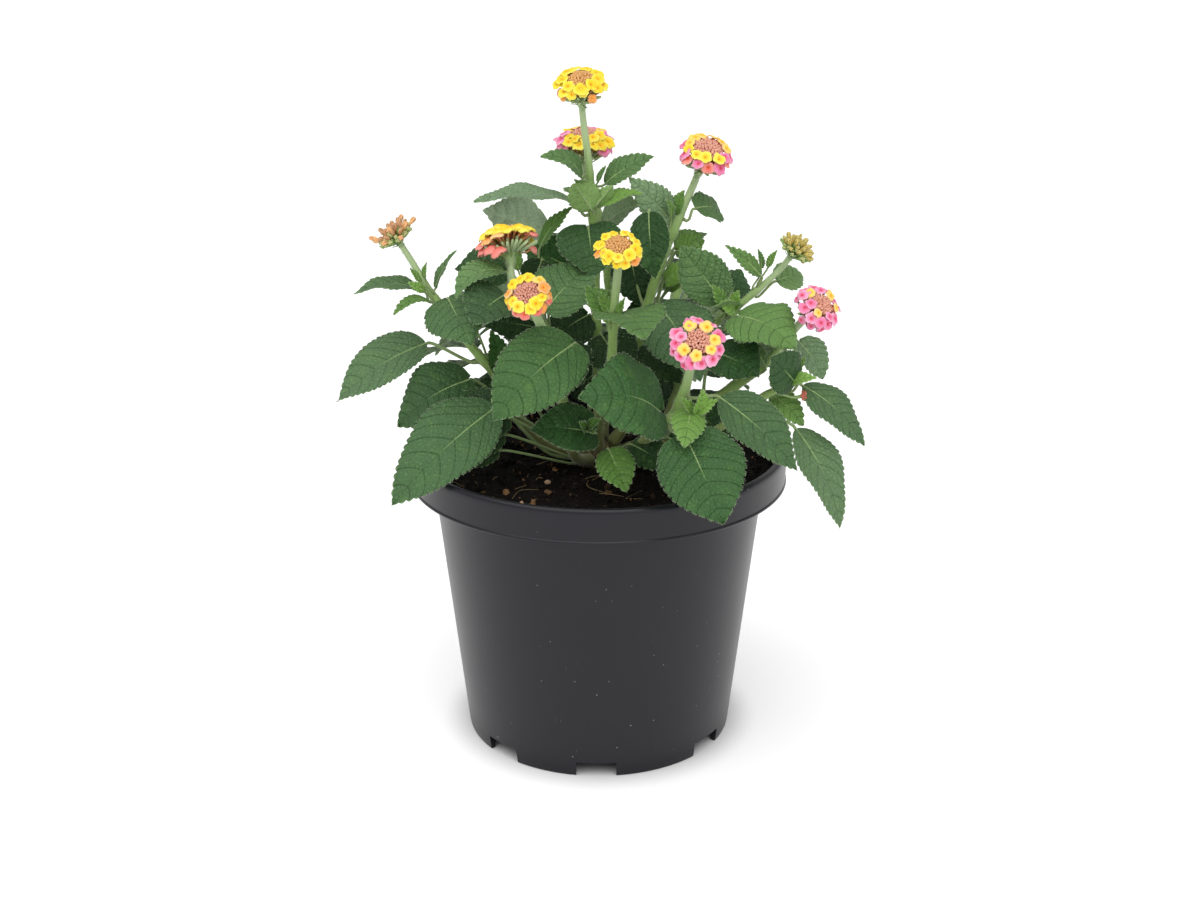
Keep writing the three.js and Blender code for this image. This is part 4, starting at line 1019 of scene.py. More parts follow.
# ---- Flower heads ------------------------------------------------------------------------------------
# For each open head: where its dome faces, how far out its buds reach (degrees from the middle), the
# colour of its buds, and its rings of florets from the buds outwards. A ring is its angle from the
# middle in degrees, one letter for each floret from the front to the right and round (y yellow,
# c cream, o orange, s salmon, p pink, - none), and the floret's radius as a share of the head's width.
OPEN_HEADS = {
    "top": ((0, -0.42, 0.9), 40, "peach",
            [(50, "yyyyyyyyy", 0.14), (76, "yyyyyyyyyyy", 0.115), (92, "-o-s-o--o-so-", 0.085)]),
    "rear_top": ((0, -0.16, 0.98), 36, "coral",
                 [(47, "yyypcppcypyy", 0.1), (70, "yyypppppppyy", 0.115), (90, "--pppp---pppp-", 0.12)]),
    "tall_right": ((0.2, -0.45, 0.87), 42, "coral",
                   [(51, "yypccccccyy", 0.11), (80, "spspsppppppsp", 0.13)]),
    "front": ((0, -0.56, 0.83), 42, "peach",
              [(54, "yyyyyyyyyyy", 0.125), (80, "yoyy-yyy-yoyy", 0.115)]),
    "left_mid": ((-0.15, 0.3, 0.94), 26, "peach",
                 [(36, "yyyyyyy", 0.13), (58, "yyyyyyyyyyy", 0.135), (80, "---ssyyyyyssoo", 0.13),
                  (96, "----s-------sss-", 0.135)]),
    "left_front": ((-0.15, -0.7, 0.7), 40, "coral",
                   [(57, "yyyocyyyoyy", 0.13), (86, "sosoc-yyy-yoss", 0.12)]),
    "front_right": ((0.05, -0.78, 0.6), 34, "coral",
                    [(45, "cccccpc", 0.115), (72, "ppppppppppp", 0.135), (96, "p-pp-pp-ppp", 0.11)]),
    "right_low": ((0.4, -0.6, 0.68), 34, "coral",
                  [(45, "cpccpcp", 0.115), (72, "ppppppppppp", 0.135), (96, "pp-pp-ppp-p", 0.11)]),
}
FLORET_SLOTS = {"y": 0, "c": 1, "o": 2, "s": 3, "p": 4}
BUD_SLOT, TUBE_SLOT, YOUNG_BUD_SLOT = 5, 6, 7
LEFT_MID_CURL = 0.34  # how much further the florets of left_mid bend back
FLORET_COLUMNS, BUD_COLUMNS = 25, 8
BUD_RADIUS = 0.029  # as a share of the head's width
BUD_LENGTH = 5
BRACTS = 14
CALYX_HAIRS = 260

# A floret's upper side from its throat to its rim, as (distance from its middle, height) in radii.
FLORET = ((0.05, -0.2), (0.12, -0.1), (0.22, 0.02), (0.45, 0.07), (0.72, 0.04), (0.92, -0.03), (1.0, -0.1))

# A bud's outline, as (share of its length, share of its radius).
KNOB = ((0.0, 0.5), (0.5, 0.6), (0.68, 0.92), (0.82, 1.0), (0.94, 0.88), (1.0, 0.45))
BALLOON = ((0.0, 0.34), (0.35, 0.34), (0.68, 0.42), (0.77, 0.8), (0.87, 1.0), (0.95, 0.84), (1.0, 0.45))
CLUB = ((0.0, 0.4), (0.5, 0.55), (0.74, 0.92), (0.86, 1.0), (0.95, 0.84), (1.0, 0.45))

# The buds of a closed head, group by group: how many, the innermost share and the outermost angle of
# their tilt, their lengths as shares of the head's width, their radii, colour and outline.
CLOSED_HEADS = {
    "left_tall": [(9, 0.35, 80, (0.52, 0.66), (1.2, 1.5), BUD_SLOT, BALLOON),
                  (17, 0.0, 60, (0.4, 0.52), (0.95, 1.15), TUBE_SLOT, CLUB),
                  (24, 0.45, 84, (0.34, 0.44), (1.0, 1.25), YOUNG_BUD_SLOT, CLUB)],
    "right_tall": [(28, 0.0, 66, (0.44, 0.54), (0.95, 1.15), BUD_SLOT, CLUB),
                   (20, 0.55, 86, (0.36, 0.46), (0.85, 1.05), YOUNG_BUD_SLOT, CLUB)],
}
CALYX_REACH = {"left_mid": 0.3, "left_tall": 0.28, "right_tall": 0.32}  # the rest reach 0.18
CUP = ((-0.1, 0.055), (0.0, 0.07), (0.05, 0.085), (0.1, 0.12), (0.15, 0.15), (0.2, 0.15), (0.25, 0.1))


class Dome:
    """The rounded shape that a head's florets and buds sit on."""

    CENTRE, REACH, RISE = 0.32, 0.41, 0.27  # shares of the head's width

    def __init__(self, name):
        neck, axis, self.width = HEADS[name]
        self.flatness, self.droop = (0.3, 0) if name == "left_mid" else (0.4, 0.32)
        self.neck, self.stalk_axis = np.array(neck, float), unit(axis)
        self.axis = unit(OPEN_HEADS[name][0]) if name in OPEN_HEADS else self.stalk_axis
        self.front = square_to(np.array([0, -1.0, 0]), self.axis)
        self.right = np.cross(self.front, self.axis)
        self.right = self.right if self.right[0] > 0 else -self.right
        self.centre = self.neck + self.stalk_axis * self.CENTRE * self.width
        self.reach, self.rise = self.REACH * self.width, self.RISE * self.width

    def radial(self, turn):
        return spokes(turn, self.front, self.right)

    def at(self, tilt, turn):
        """A point on the dome and the way a floret there faces, at an angle from the axis and round it."""
        out = self.radial(turn)
        height = math.copysign(abs(math.cos(tilt)) ** 0.6, math.cos(tilt))
        point = self.centre + out * self.reach * math.sin(tilt) + self.axis * self.rise * height
        lean = tilt * (self.flatness + self.droop * float(ease(tilt, 1.1, 1.7)))
        return point, unit(spokes(lean, self.axis, out))


def add_floret(skin, point, normal, radius, slot, rng, recurve):
    """An open floret: four or five uneven lobes round a small throat, closed on its underside."""
    first = square_to(rng.normal(size=3), normal)
    second = np.cross(normal, first)
    count, lobe_count = FLORET_COLUMNS, 4 + int(rng.integers(2))
    angles = around(count)
    lobes = 0.8 + 0.2 * np.abs(np.cos(lobe_count / 2 * angles)) ** 0.6
    lobes = lobes * (1 + 0.12 * np.cos(angles + rng.uniform(0, 6)) + 0.05 * rng.normal(size=count))
    rho, height = np.array(FLORET).T
    R = radius * rho[:, None] * (1 + (lobes - 1) * ease(rho, 0.2, 0.9)[:, None])
    ruffle = 0.1 * radius * np.cos(lobe_count * angles + rng.uniform(0, 6))[None] * rho[:, None] ** 2
    sway = 0.14 * radius * np.cos(angles + rng.uniform(0, 6))[None] * rho[:, None] ** 2
    Z = (height * radius)[:, None] + ruffle + sway - recurve * radius * rho[:, None] ** 3
    spots = point + R[..., None] * spokes(angles, first, second)
    below = [5, 3, 1]
    rings = np.concatenate([spots + Z[..., None] * normal,
                            spots[below] + (Z[below][..., None] - 0.08 * radius) * normal])
    own = rng.uniform(0, 1)
    shade = np.append(np.repeat([*rho, 0.92, 0.6, 0.6], count), [0, 0.6])
    eye = [point - 0.24 * radius * normal, point - 0.3 * radius * normal]
    skin.rings(rings, eye, slot, floret=triples(shade, own, 0.0))


def add_bud(skin, foot, tip, radius, slot, rng, profile=KNOB):
    """A closed bud: a four-cornered knob on a narrower tube, with lines of painted shade across its top where
    its lobes fold.
    """
    axis = unit(tip - foot)
    length = float(np.linalg.norm(tip - foot))
    first = square_to(rng.normal(size=3), axis)
    second = np.cross(axis, first)
    angles = around(BUD_COLUMNS)
    box = 1 + 0.08 * np.cos(4 * angles)
    ring = spokes(angles, first, second)
    rings = np.array([foot + axis * length * h + ring * (radius * w * box)[:, None] for h, w in profile])
    own = rng.uniform(0, 1)
    # These columns carry the painted shade lines across the bud's top.
    painted_crease_shade = np.abs(np.cos(2 * angles)) < 0.3
    values = [(h, own, float(h > 0.85 and on_painted_crease)) for h, _ in profile for on_painted_crease in painted_crease_shade]
    ends = [foot, foot + axis * length * 0.985]
    skin.rings(rings, ends, slot, floret=[*values, (0, own, 0), (1, own, 0.5)])


def add_florets(skin, name, rng):
    """The florets, their tubes and the closed buds of an open head."""
    dome = Dome(name)
    _, buds_to, _, rings = OPEN_HEADS[name]
    seat = dome.neck + dome.stalk_axis * 0.16 * dome.width
    along = np.linspace(0, 1, 7)
    for order, (degrees, letters, share) in enumerate(rings):
        outer = degrees > 80
        curl = 0.04 + 0.2 * outer + LEFT_MID_CURL * (name == "left_mid")
        for i, letter in enumerate(letters):
            if letter == "-":
                continue
            turn = TURN * (i + 0.5 * (order % 2)) / len(letters) + rng.uniform(-0.12, 0.12)
            tilt = math.radians(degrees + rng.uniform(-5, 5))
            point, normal = dome.at(tilt, turn)
            normal = unit(normal + rng.normal(size=3) * 0.13)
            radius = share * dome.width * rng.uniform(0.86, 1.12)
            point = point + normal * rng.uniform(-0.4, 0.5)
            add_floret(skin, point, normal, radius, FLORET_SLOTS[letter], rng, curl)
            root = seat + dome.radial(turn) * dome.width * 0.1 * math.sin(tilt)
            bend = (root + point) / 2 + dome.axis * (0.04 - 0.1 * outer) * dome.width
            tube = Path([root, bend, point - normal * radius * 0.2]).at(along)
            skin.tube(tube, dome.right + 0.01, [0.6, 0.55, 0.5, 0.48, 0.5, 0.55, 0.62], 7, TUBE_SLOT,
                      floret=triples(along, 0.5, 0.0))
    top = math.radians(buds_to)
    size = BUD_RADIUS * dome.width
    count = int((dome.reach * math.sin(top) / size) ** 2 * 0.95)
    for i in range(count):
        point, normal = dome.at(top * math.sqrt((i + 0.5) / count), GOLDEN_ANGLE * i)
        point = point + dome.axis * (0.01 - 0.05 * i / count) * dome.width
        normal = unit(normal + rng.normal(size=3) * 0.07)
        tip = point + normal * rng.uniform(-0.5, 0.4)
        add_bud(skin, tip - normal * BUD_LENGTH, tip, size * rng.uniform(0.85, 1.08), BUD_SLOT, rng)


def add_closed_head(skin, name, rng):
    """A head that has not opened: buds that stand apart, and younger ones between."""
    dome = Dome(name)
    for count, inner, tilt_to, lengths, radii, slot, profile in CLOSED_HEADS[name]:
        for i in range(count):
            share = inner + (1 - inner) * math.sqrt((i + 0.5) / count)
            tilt, turn = math.radians(tilt_to) * share, GOLDEN_ANGLE * i + rng.uniform(-0.2, 0.2)
            out = dome.radial(turn)
            way = unit(spokes(tilt, dome.axis, out))
            foot = dome.neck + dome.axis * dome.width * 0.18 + out * dome.width * 0.09 * share
            length = dome.width * rng.uniform(*lengths)
            add_bud(skin, foot, foot + way * length, rng.uniform(*radii), slot, rng, profile)


def add_young_head(skin, stalk, count, rng):
    """A tiny head of closed buds on its own stalk, which starts inside the shoot."""
    path = Path(stalk)
    skin.tube(path.at(np.linspace(0, 1, 7)), (0.2, 0.1, 1), [0.8, 0.7, 0.6, 0.6, 0.6, 0.8, 1.0],
              stem=(0.5, 0.0, 0.4))
    end, axis = path.at(1)[0], path.toward(1)[0]
    front = square_to(np.array([0, -1.0, 0.2]), axis)
    for i in range(count):
        tilt, turn = 1.35 * math.sqrt((i + 0.5) / count), GOLDEN_ANGLE * i
        way = unit(spokes(tilt, axis, spokes(turn, front, np.cross(front, axis))))
        add_bud(skin, end - way * 0.2, end + way * rng.uniform(2.3, 3.2), 0.62, 1, rng)


def add_bract(skin, root, tip, bow, width):
    """A narrow pointed bract, closed and a little keeled."""
    path = Path([root, (root + tip) / 2 + bow, tip])
    s = np.linspace(0, 1, 8)
    centres, ways = path.at(s), path.toward(s)
    up = square_to(-bow + 1e-6, ways)
    side = np.cross(ways, up)
    half = (width / 2 * np.sin(math.pi * (0.12 + 0.86 * s)) ** 0.8 * (1 - 0.35 * s))[:, None]
    ring = np.stack([centres - side * half, centres - up * half * 0.35, centres + side * half,
                     centres + up * half * 0.12], 1)
    start = skin.add(ring, ring_faces(8, 4, True), STEM, stem=(0.5, 0.0, 0.0))
    skin.join([[0, 1, 2, 3], [31, 30, 29, 28]], STEM, start)


def add_calyx(skin, name, rng):
    """What is green under a head: its cup, the small calyx of each floret, bracts and down."""
    dome = Dome(name)
    width, axis = dome.width, dome.stalk_axis
    open_head = name in OPEN_HEADS
    heights, cup_radii = np.array(CUP).T
    stem = np.array([[0.5, 0.0, 0.8 - 0.08 * i] for i in range(len(CUP))])
    skin.tube(dome.neck + axis * heights[:, None] * width, dome.right, cup_radii * width, 16, STEM, stem=stem)
    for i in range(BRACTS):
        out = dome.radial(TURN * (i + rng.uniform(-0.25, 0.25)) / BRACTS)
        spread = rng.uniform(0.24, 0.38)
        root = dome.neck + axis * width * rng.uniform(0.02, 0.08) + out * width * 0.07
        tip = dome.neck + axis * width * rng.uniform(0.12, 0.32) + out * width * spread
        add_bract(skin, root, tip, (out - axis * 0.4) * width * 0.02, rng.uniform(1.1, 1.7))
    swell, tilts, more, fresh = ([0.45, 0.72, 0.78, 0.6], (38, 62, 80), 4, 0.8) if open_head else (
        [0.45, 0.75, 0.7, 0.25], (36, 62, 82), 6, 0.15)
    marks = np.linspace(0, 1, 4)[:, None]
    for ring, degrees in enumerate(tilts):
        count = 7 + more * ring
        for i in range(count):
            out = dome.radial(TURN * (i + 0.5 * ring) / count + rng.uniform(-0.1, 0.1))
            tilt = math.radians(degrees + rng.uniform(-5, 5))
            way = unit(spokes(tilt, axis, out) + axis * 0.25)
            root = dome.neck + axis * width * 0.15 + out * width * 0.06 * (1 + ring)
            reach = width * CALYX_REACH.get(name, 0.18) * rng.uniform(0.85, 1.15)
            skin.tube(root + way * marks * reach, dome.right + 0.02, swell, 7, STEM, stem=(0.5, 0.0, fresh))
    out = dome.radial(rng.uniform(0, TURN, CALYX_HAIRS))
    h = rng.uniform(-0.05, 0.24, CALYX_HAIRS)
    r = np.interp(h, heights, cup_radii)
    roots = dome.neck + axis * (h * width)[:, None] + out * (r * width)[:, None]
    ways = out + rng.normal(size=(CALYX_HAIRS, 3)) * 0.3
    skin.hairs(roots, ways, rng.uniform(0.7, 1.6, CALYX_HAIRS), HAIR_RADIUS, STEM_DOWN)


# ---- Settings that a user would change ----------------------------------------------------------------
def colour(name, description, default):
    return FloatVectorProperty(name=name, description=description, subtype="COLOR", size=3,
                               min=0.0, max=1.0, default=default)


def amount(name, description, default, most=1.0):
    return FloatProperty(name=name, description=description, subtype="FACTOR", min=0.0, max=most,
                         default=default)


def distance(name, description, default):
    return FloatProperty(name=name, description=description, subtype="DISTANCE", unit="LENGTH",
                         default=default)


class LANTANA_PG_pot(bpy.types.PropertyGroup):
    height: distance("Height", "Height of the pot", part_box("nursery_pot")[1].z)
    rim_radius: distance("Rim radius", "Outer radius of the rim band", 0.095)
    plastic: colour("Plastic", "Colour of the moulded plastic", rgb(10, 10, 18))
    roughness: amount("Roughness", "How matt the plastic is", 0.33)
    dust: amount("Dust", "How much dust and scratching shows", 0.8)


class LANTANA_PG_soil(bpy.types.PropertyGroup):
    soil: colour("Peat", "Colour of the moist peat", rgb(17, 12, 9))
    soil_grain: colour("Grains", "Colour of the lightest grains", rgb(150, 112, 78))
    crumbs: IntProperty(name="Crumbs", description="Number of loose crumbs", min=0, default=1100)
    fibres: IntProperty(name="Fibres", description="Number of straws and root fibres", min=0, default=80)


class LANTANA_PG_plant(bpy.types.PropertyGroup):
    leaf: colour("Leaf", "Colour of a grown leaf's upper side", rgb(36, 84, 24))
    young_leaf: colour("Young leaf", "Colour of a young leaf", rgb(120, 162, 70))
    underside: colour("Underside", "Colour of a leaf's underside", rgb(128, 150, 116))
    stem: colour("Stem", "Colour of a green stem", rgb(126, 164, 74))
    stalk: colour("Stalk", "Colour of a leaf's stalk", rgb(112, 140, 66))
    quilting: amount("Quilting", "How far the leaf bulges between its veins", 1.0, most=2.0)
    seed: IntProperty(name="Seed", description="Start of the random numbers", default=7)


class LANTANA_PG_flowers(bpy.types.PropertyGroup):
    yellow: colour("Yellow", "Limb of the youngest florets", rgb(250, 214, 30))
    cream: colour("Cream", "Limb of the young florets in pink heads", rgb(252, 214, 96))
    orange: colour("Orange", "Limb of the florets that leave yellow", rgb(246, 156, 82))
    salmon: colour("Salmon", "Limb of the florets that near pink", rgb(238, 124, 112))
    pink: colour("Pink", "Limb of the oldest florets", rgb(236, 124, 168))
    peach_bud: colour("Peach buds", "Closed buds of the yellow heads", rgb(255, 206, 132))
    coral_bud: colour("Coral buds", "Closed buds of the pink heads", rgb(255, 196, 170))


class LANTANA_PG_stage(bpy.types.PropertyGroup):
    floor: colour("Floor", "Colour of the floor", (0.8, 0.8, 0.8))
    surround: FloatProperty(name="Surround", description="Strength of the light from all round", min=0.0,
                            default=0.6)
    key: FloatProperty(name="Key light", description="Strength of the wide soft light above", min=0.0,
                       default=2.2)


# ---- Pot and soil -------------------------------------------------------------------------------------
FOOT_RADIUS = 68.7
POT_WALL = 1.8
POT_FACETS = 160
NOTCH = {"width": 20, "height": 7.8, "depth": 14}
NOTCH_ANGLES = (-45, -1, 53, 104, 154, 206, 260)  # degrees from the front
DRAIN = {"count": 7, "radius": 4.5, "circle": 48, "low": 4, "high": 16}
SHARP_EDGE = math.radians(32)
SOIL = {"edge": 141, "middle": 143.5, "reach": 88.6, "columns": 176, "rings": 58}
PEBBLES = 14


def pot_outline(height, rim):
    """The pot's section, from under its floor, up the outside, over the lip and down to its floor."""
    foot, shoulder, band, lip = FOOT_RADIUS, 83.6, 135.2, rim - 5
    return [
        (0, 8), (foot - 4.2, 8), (foot - 3.4, 7.4), (foot - 2.7, 0.4), (foot - 2.2, 0), (foot - 0.9, 0),
        (foot - 0.3, 0.3), (foot, 1.2), (foot + 0.35, 4), (foot + 3, 28), (foot + 7.4, 68),
        (shoulder - 2, 117), (shoulder - 0.2, band - 1.8), (shoulder, band - 0.6), (shoulder + 0.5, band),
        (rim - 1.2, band - 0.1), (rim - 0.4, band + 0.05), (rim - 0.02, band + 0.4), (rim + 0.1, band + 0.9),
        (rim - 0.05, band + 1.4), (rim - 0.42, band + 1.8), (rim - 0.34, band + 5),
        (rim - 0.05, height - 4.4), (rim + 0.05, height - 2.6), (rim - 0.08, height - 1.6),
        (rim - 0.4, height - 0.75), (rim - 0.9, height - 0.22), (rim - 1.6, height),
        (rim - 2.6, height - 0.15), (lip + 1.2, height - 0.7), (lip + 0.5, height - 1.3),
        (lip, height - 2.3), (lip - 1.1, band + 4), (lip - 1.3, band + 2.6),
        (shoulder - POT_WALL + 1.2, band - 0.4), (shoulder - POT_WALL, band - 1.5), (foot + 6, 70),
        (foot - 0.7, 12), (foot - 1.8, 10.2), (foot - 3, 10), (0, 10),
    ]


def cut(piece, cutters):
    """Takes cutters out of a piece and removes them."""
    for cutter in cutters:
        step = piece.modifiers.new("cut", "BOOLEAN")
        step.operation, step.solver, step.object = "DIFFERENCE", "EXACT", cutter
    evaluated = piece.evaluated_get(bpy.context.evaluated_depsgraph_get())
    mesh = bpy.data.meshes.new_from_object(evaluated)
    piece.modifiers.clear()
    piece.data = mesh
    for cutter in cutters:
        bpy.data.objects.remove(cutter)


def notch_cutter(angle):
    """A box over the foot's edge, turned round the pot's axis."""
    x, y, z = NOTCH["width"] / 2, NOTCH["depth"] / 2, NOTCH["height"]
    corners = np.array([(i * x, j * y, k * z) for k in (-1, 1) for j in (-1, 1) for i in (-1, 1)])
    corners = corners - (0, FOOT_RADIUS, 0)
    turn = math.radians(angle)
    spin = np.array([[math.cos(turn), math.sin(turn), 0], [-math.sin(turn), math.cos(turn), 0], [0, 0, 1]])
    faces = [(0, 2, 3, 1), (4, 5, 7, 6), (0, 1, 5, 4), (2, 6, 7, 3), (0, 4, 6, 2), (1, 3, 7, 5)]
    skin = Skin()
    skin.add(corners @ spin, faces)
    return skin.piece("cutter")


def drain_cutter(turn):
    """A round rod through the pot's floor."""
    radius, low, high = DRAIN["radius"], DRAIN["low"], DRAIN["high"]
    skin = Skin()
    skin.lathe([(0, low), (radius, low), (radius, high), (0, high)], 24)
    rod = skin.piece("cutter")
    x, y = (DRAIN["circle"] * wave(turn) * MM for wave in (math.cos, math.sin))
    rod.data.transform(Matrix.Translation((x, y, 0)))
    return rod


class LANTANA_OT_pot(bpy.types.Operator):
    """Makes the nursery pot with its drainage notches and holes"""

    bl_idname = "lantana.pot"
    bl_label = "Pot"

    def execute(self, context):
        settings = context.scene.lantana_pot
        skin = Skin()
        skin.lathe(pot_outline(settings.height / MM, settings.rim_radius / MM), POT_FACETS)
        pot = skin.piece("moulded_pot")
        cutters = [notch_cutter(angle) for angle in NOTCH_ANGLES]
        cutters += [drain_cutter(TURN * i / DRAIN["count"] - TURN / 4) for i in range(DRAIN["count"])]
        context.view_layer.update()
        cut(pot, cutters)
        pot.data.materials.clear()
        pot.data.materials.append(plastic_finish(settings))
        pot.data.polygons.foreach_set("use_smooth", np.ones(len(pot.data.polygons), bool))
        pot.data.set_sharp_from_angle(angle=SHARP_EDGE)
        belong(pot, "pot_plastic", "nursery_pot")
        return {"FINISHED"}


def soil_height(radius):
    """How high the soil stands at a distance from the pot's axis, before its lumps."""
    return SOIL["middle"] - (SOIL["middle"] - SOIL["edge"]) * ease(radius, 30, SOIL["reach"])


def soil_lumps(x, y):
    """Lumps of the soil's surface, in millimetres."""
    spots = np.stack([x, y, np.zeros_like(x)], -1).reshape(-1, 3)
    coarse, fine, grain = lumps(spots, 11, 3.1), lumps(spots, 4.2, 9.7), lumps(spots, 1.9, 5.3)
    return (1.0 * coarse + 0.8 * fine + 0.45 * grain).reshape(x.shape)


def lump(rng, radius, detail):
    """A crumb's points and faces: an uneven ball, from a solid of twenty triangles."""
    t = (1 + 5**0.5) / 2
    points = [(-1, t, 0), (1, t, 0), (-1, -t, 0), (1, -t, 0), (0, -1, t), (0, 1, t), (0, -1, -t),
              (0, 1, -t), (t, 0, -1), (t, 0, 1), (-t, 0, -1), (-t, 0, 1)]
    faces = [(0, 11, 5), (0, 5, 1), (0, 1, 7), (0, 7, 10), (0, 10, 11), (1, 5, 9), (5, 11, 4), (11, 10, 2),
             (10, 7, 6), (7, 1, 8), (3, 9, 4), (3, 4, 2), (3, 2, 6), (3, 6, 8), (3, 8, 9), (4, 9, 5),
             (2, 4, 11), (6, 2, 10), (8, 6, 7), (9, 8, 1)]
    points = [unit(p) for p in points]
    for _ in range(detail):
        middles, finer = {}, []
        for a, b, c in faces:
            ids = []
            for pair in ((a, b), (b, c), (c, a)):
                key = tuple(sorted(pair))
                if key not in middles:
                    middles[key] = len(points)
                    points.append(unit(points[pair[0]] + points[pair[1]]))
                ids.append(middles[key])
            ab, bc, ca = ids
            finer += [(a, ab, ca), (b, bc, ab), (c, ca, bc), (ab, bc, ca)]
        faces = finer
    points = np.array(points) * rng.uniform(0.72, 1.15, (len(points), 1)) * radius
    return points * rng.uniform(0.6, 1.25, 3), faces


def soil_spot(rng, low=16.0, high=86.0):
    """A random point on the soil's surface between two distances from the axis."""
    radius, turn = math.sqrt(rng.uniform(low**2, high**2)), rng.uniform(0, TURN)
    x, y = radius * math.cos(turn), radius * math.sin(turn)
    lift = float(soil_lumps(np.array([x]), np.array([y]))[0])
    return np.array([x, y, float(soil_height(radius)) + lift])


class LANTANA_OT_soil(bpy.types.Operator):
    """Makes the potting soil with its crumbs, fibres and pebbles"""

    bl_idname = "lantana.soil"
    bl_label = "Potting soil"

    def execute(self, context):
        settings = context.scene.lantana_soil
        rng = np.random.default_rng(SOIL_SEED)
        columns = SOIL["columns"]
        radii = [*np.linspace(CROWN["radius"] + 1.2, 85, SOIL["rings"]), 86.6, 87.6, 88.2]
        R, T = np.meshgrid(radii, around(columns), indexing="ij")
        x, y = R * np.cos(T), R * np.sin(T)
        reach = SOIL["reach"]
        z = soil_height(R) + soil_lumps(x, y) * (1 - ease(R, 84, reach)) - 1.6 * ease(R, 86, reach)
        side_and_floor = [(87.9, 138.4), (81.2, 133.4), (67.0, 10.6), (8, 10.6)]
        crown_socket = [(7.6, 111.6), (CROWN["radius"] + 0.6, 137.5)]
        lower = [circle(columns, radius, height) for radius, height in side_and_floor + crown_socket]
        grid = np.concatenate([np.stack([x, y, z], -1), lower])
        faces = ring_faces(len(grid) + 1, columns, True) % (len(grid) * columns)
        skin = Skin()
        skin.add(grid, faces)
        belong(skin.piece("peat", [peat_finish(settings)]), "potting_soil", "potting_soil")
        self.scatter(settings, rng)
        return {"FINISHED"}

    def scatter(self, settings, rng):
        """Loose crumbs, fibres and pebbles on the surface."""
        skin = Skin()
        for _ in range(settings.crumbs):
            size = 0.45 + 1.5 * rng.uniform() ** 3
            points, faces = lump(rng, size, 1 if size > 1.1 else 0)
            own = rng.uniform() ** 2.2
            skin.add(points + soil_spot(rng) + (0, 0, size * 0.25), faces, CRUMB, grit=(own, 0, 0))
        for _ in range(PEBBLES):
            size = rng.uniform(0.7, 1.7)
            points, faces = lump(rng, size, 2)
            skin.add(points + soil_spot(rng) + (0, 0, size * 0.4), faces, PEBBLE, grit=(rng.uniform(), 0, 0))
        for _ in range(settings.fibres):
            start = soil_spot(rng, 20, 80)
            turn, length = rng.uniform(0, TURN), 4 + 18 * rng.uniform() ** 2
            way = np.array([math.cos(turn), math.sin(turn), 0])
            cross = np.array([-way[1], way[0], 0]) * rng.uniform(-0.3, 0.3)
            bend = start + way * length * 0.5 + cross * length + (0, 0, rng.uniform(0.4, 2))
            end = start + way * length + (0, 0, rng.uniform(0, 0.8))
            radius = rng.uniform(0.08, 0.2)
            path = Path([start + (0, 0, 0.3), bend, end])
            skin.tube(path.at(np.linspace(0, 1, 8)), (0, 0, 1), radius, 5, STRAW)
        finishes = [crumb_finish(settings), straw_finish(), pebble_finish()]
        belong(skin.piece("crumbs_and_fibres", finishes, keep_flat=(CRUMB,)), "potting_soil")


# ---- Plant ----------------------------------------------------------------------------------------------
class LANTANA_OT_crown(bpy.types.Operator):
    """Makes the woody crown that the shoots grow from"""

    bl_idname = "lantana.crown"
    bl_label = "Crown"

    def execute(self, context):
        radius, centre, bottom = CROWN["radius"], CROWN["centre"], CROWN["root_bottom"]
        arc = [math.radians(a) for a in (-12, 0, 12, 24, 36, 48, 60, 70, 80, 86)]
        dome = [(radius * math.cos(a), centre + radius * math.sin(a)) for a in arc]
        root = [(0, bottom), (CROWN["root_radius"], bottom), (8.2, 122), (10.4, 131)]
        skin = Skin()
        skin.lathe([*root, *dome, (0, centre + radius)], 40)
        points = skin.points[0]
        rough = lumps(points, 6, 2.0) * 0.7 + lumps(points, 2.4, 4.0) * 0.3
        skin.points[0] = points + unit(points - (0, 0, centre)) * rough[:, None]
        belong(skin.piece("crown_bark", [bark_finish()]), "bark", "crown")
        return {"FINISHED"}


def plant_finishes(settings):
    """The finishes that leaves and shoots share, made once: those of a leaf, then those of a shoot."""
    if "leaf_upper" not in bpy.data.materials:
        leaf_finish(settings, True)
        leaf_finish(settings, False)
        stem_finish("young_stem", settings.stem)
        stem_finish("stalk", settings.stalk)
        down_finish()
    names = (("leaf_upper", "leaf_underside", "stalk", "down"), ("young_stem", "down"))
    return ([bpy.data.materials[name] for name in group] for group in names)


class LANTANA_OT_shoots(bpy.types.Operator):
    """Makes the shoots with their down, and the smaller leaves on them"""

    bl_idname = "lantana.shoots"
    bl_label = "Shoots and small leaves"

    def execute(self, context):
        settings = context.scene.lantana_plant
        leaf, shoot = plant_finishes(settings)
        for order, (name, rows) in enumerate(SMALL_LEAVES.items()):
            rng = np.random.default_rng(settings.seed * 100 + order)
            node, path = name, None
            if name in SHOOTS:
                node, path = "stem_" + name, shoot_path(name)
                skin = Skin()
                add_shoot(skin, name, rng)
                belong(skin.piece("shoot_" + name, shoot), "green_stem", node)
            skin = Skin()
            for row in rows:
                add_leaf(skin, Blade((name, *row), path, True), rng, settings.quilting)
            belong(skin.piece("small_leaves_" + name, leaf), "leaf", node)
            if name == YOUNG_HEAD["on"]:
                skin = Skin()
                stalk = [path.at(YOUNG_HEAD["share"])[0], *YOUNG_HEAD["way"]]
                add_young_head(skin, stalk, YOUNG_HEAD["buds"], rng)
                red = bud_finish("bud_red", rgb(216, 128, 106), rgb(140, 52, 48))
                belong(skin.piece("young_head", [shoot[0], red]), "green_stem", node)
        return {"FINISHED"}


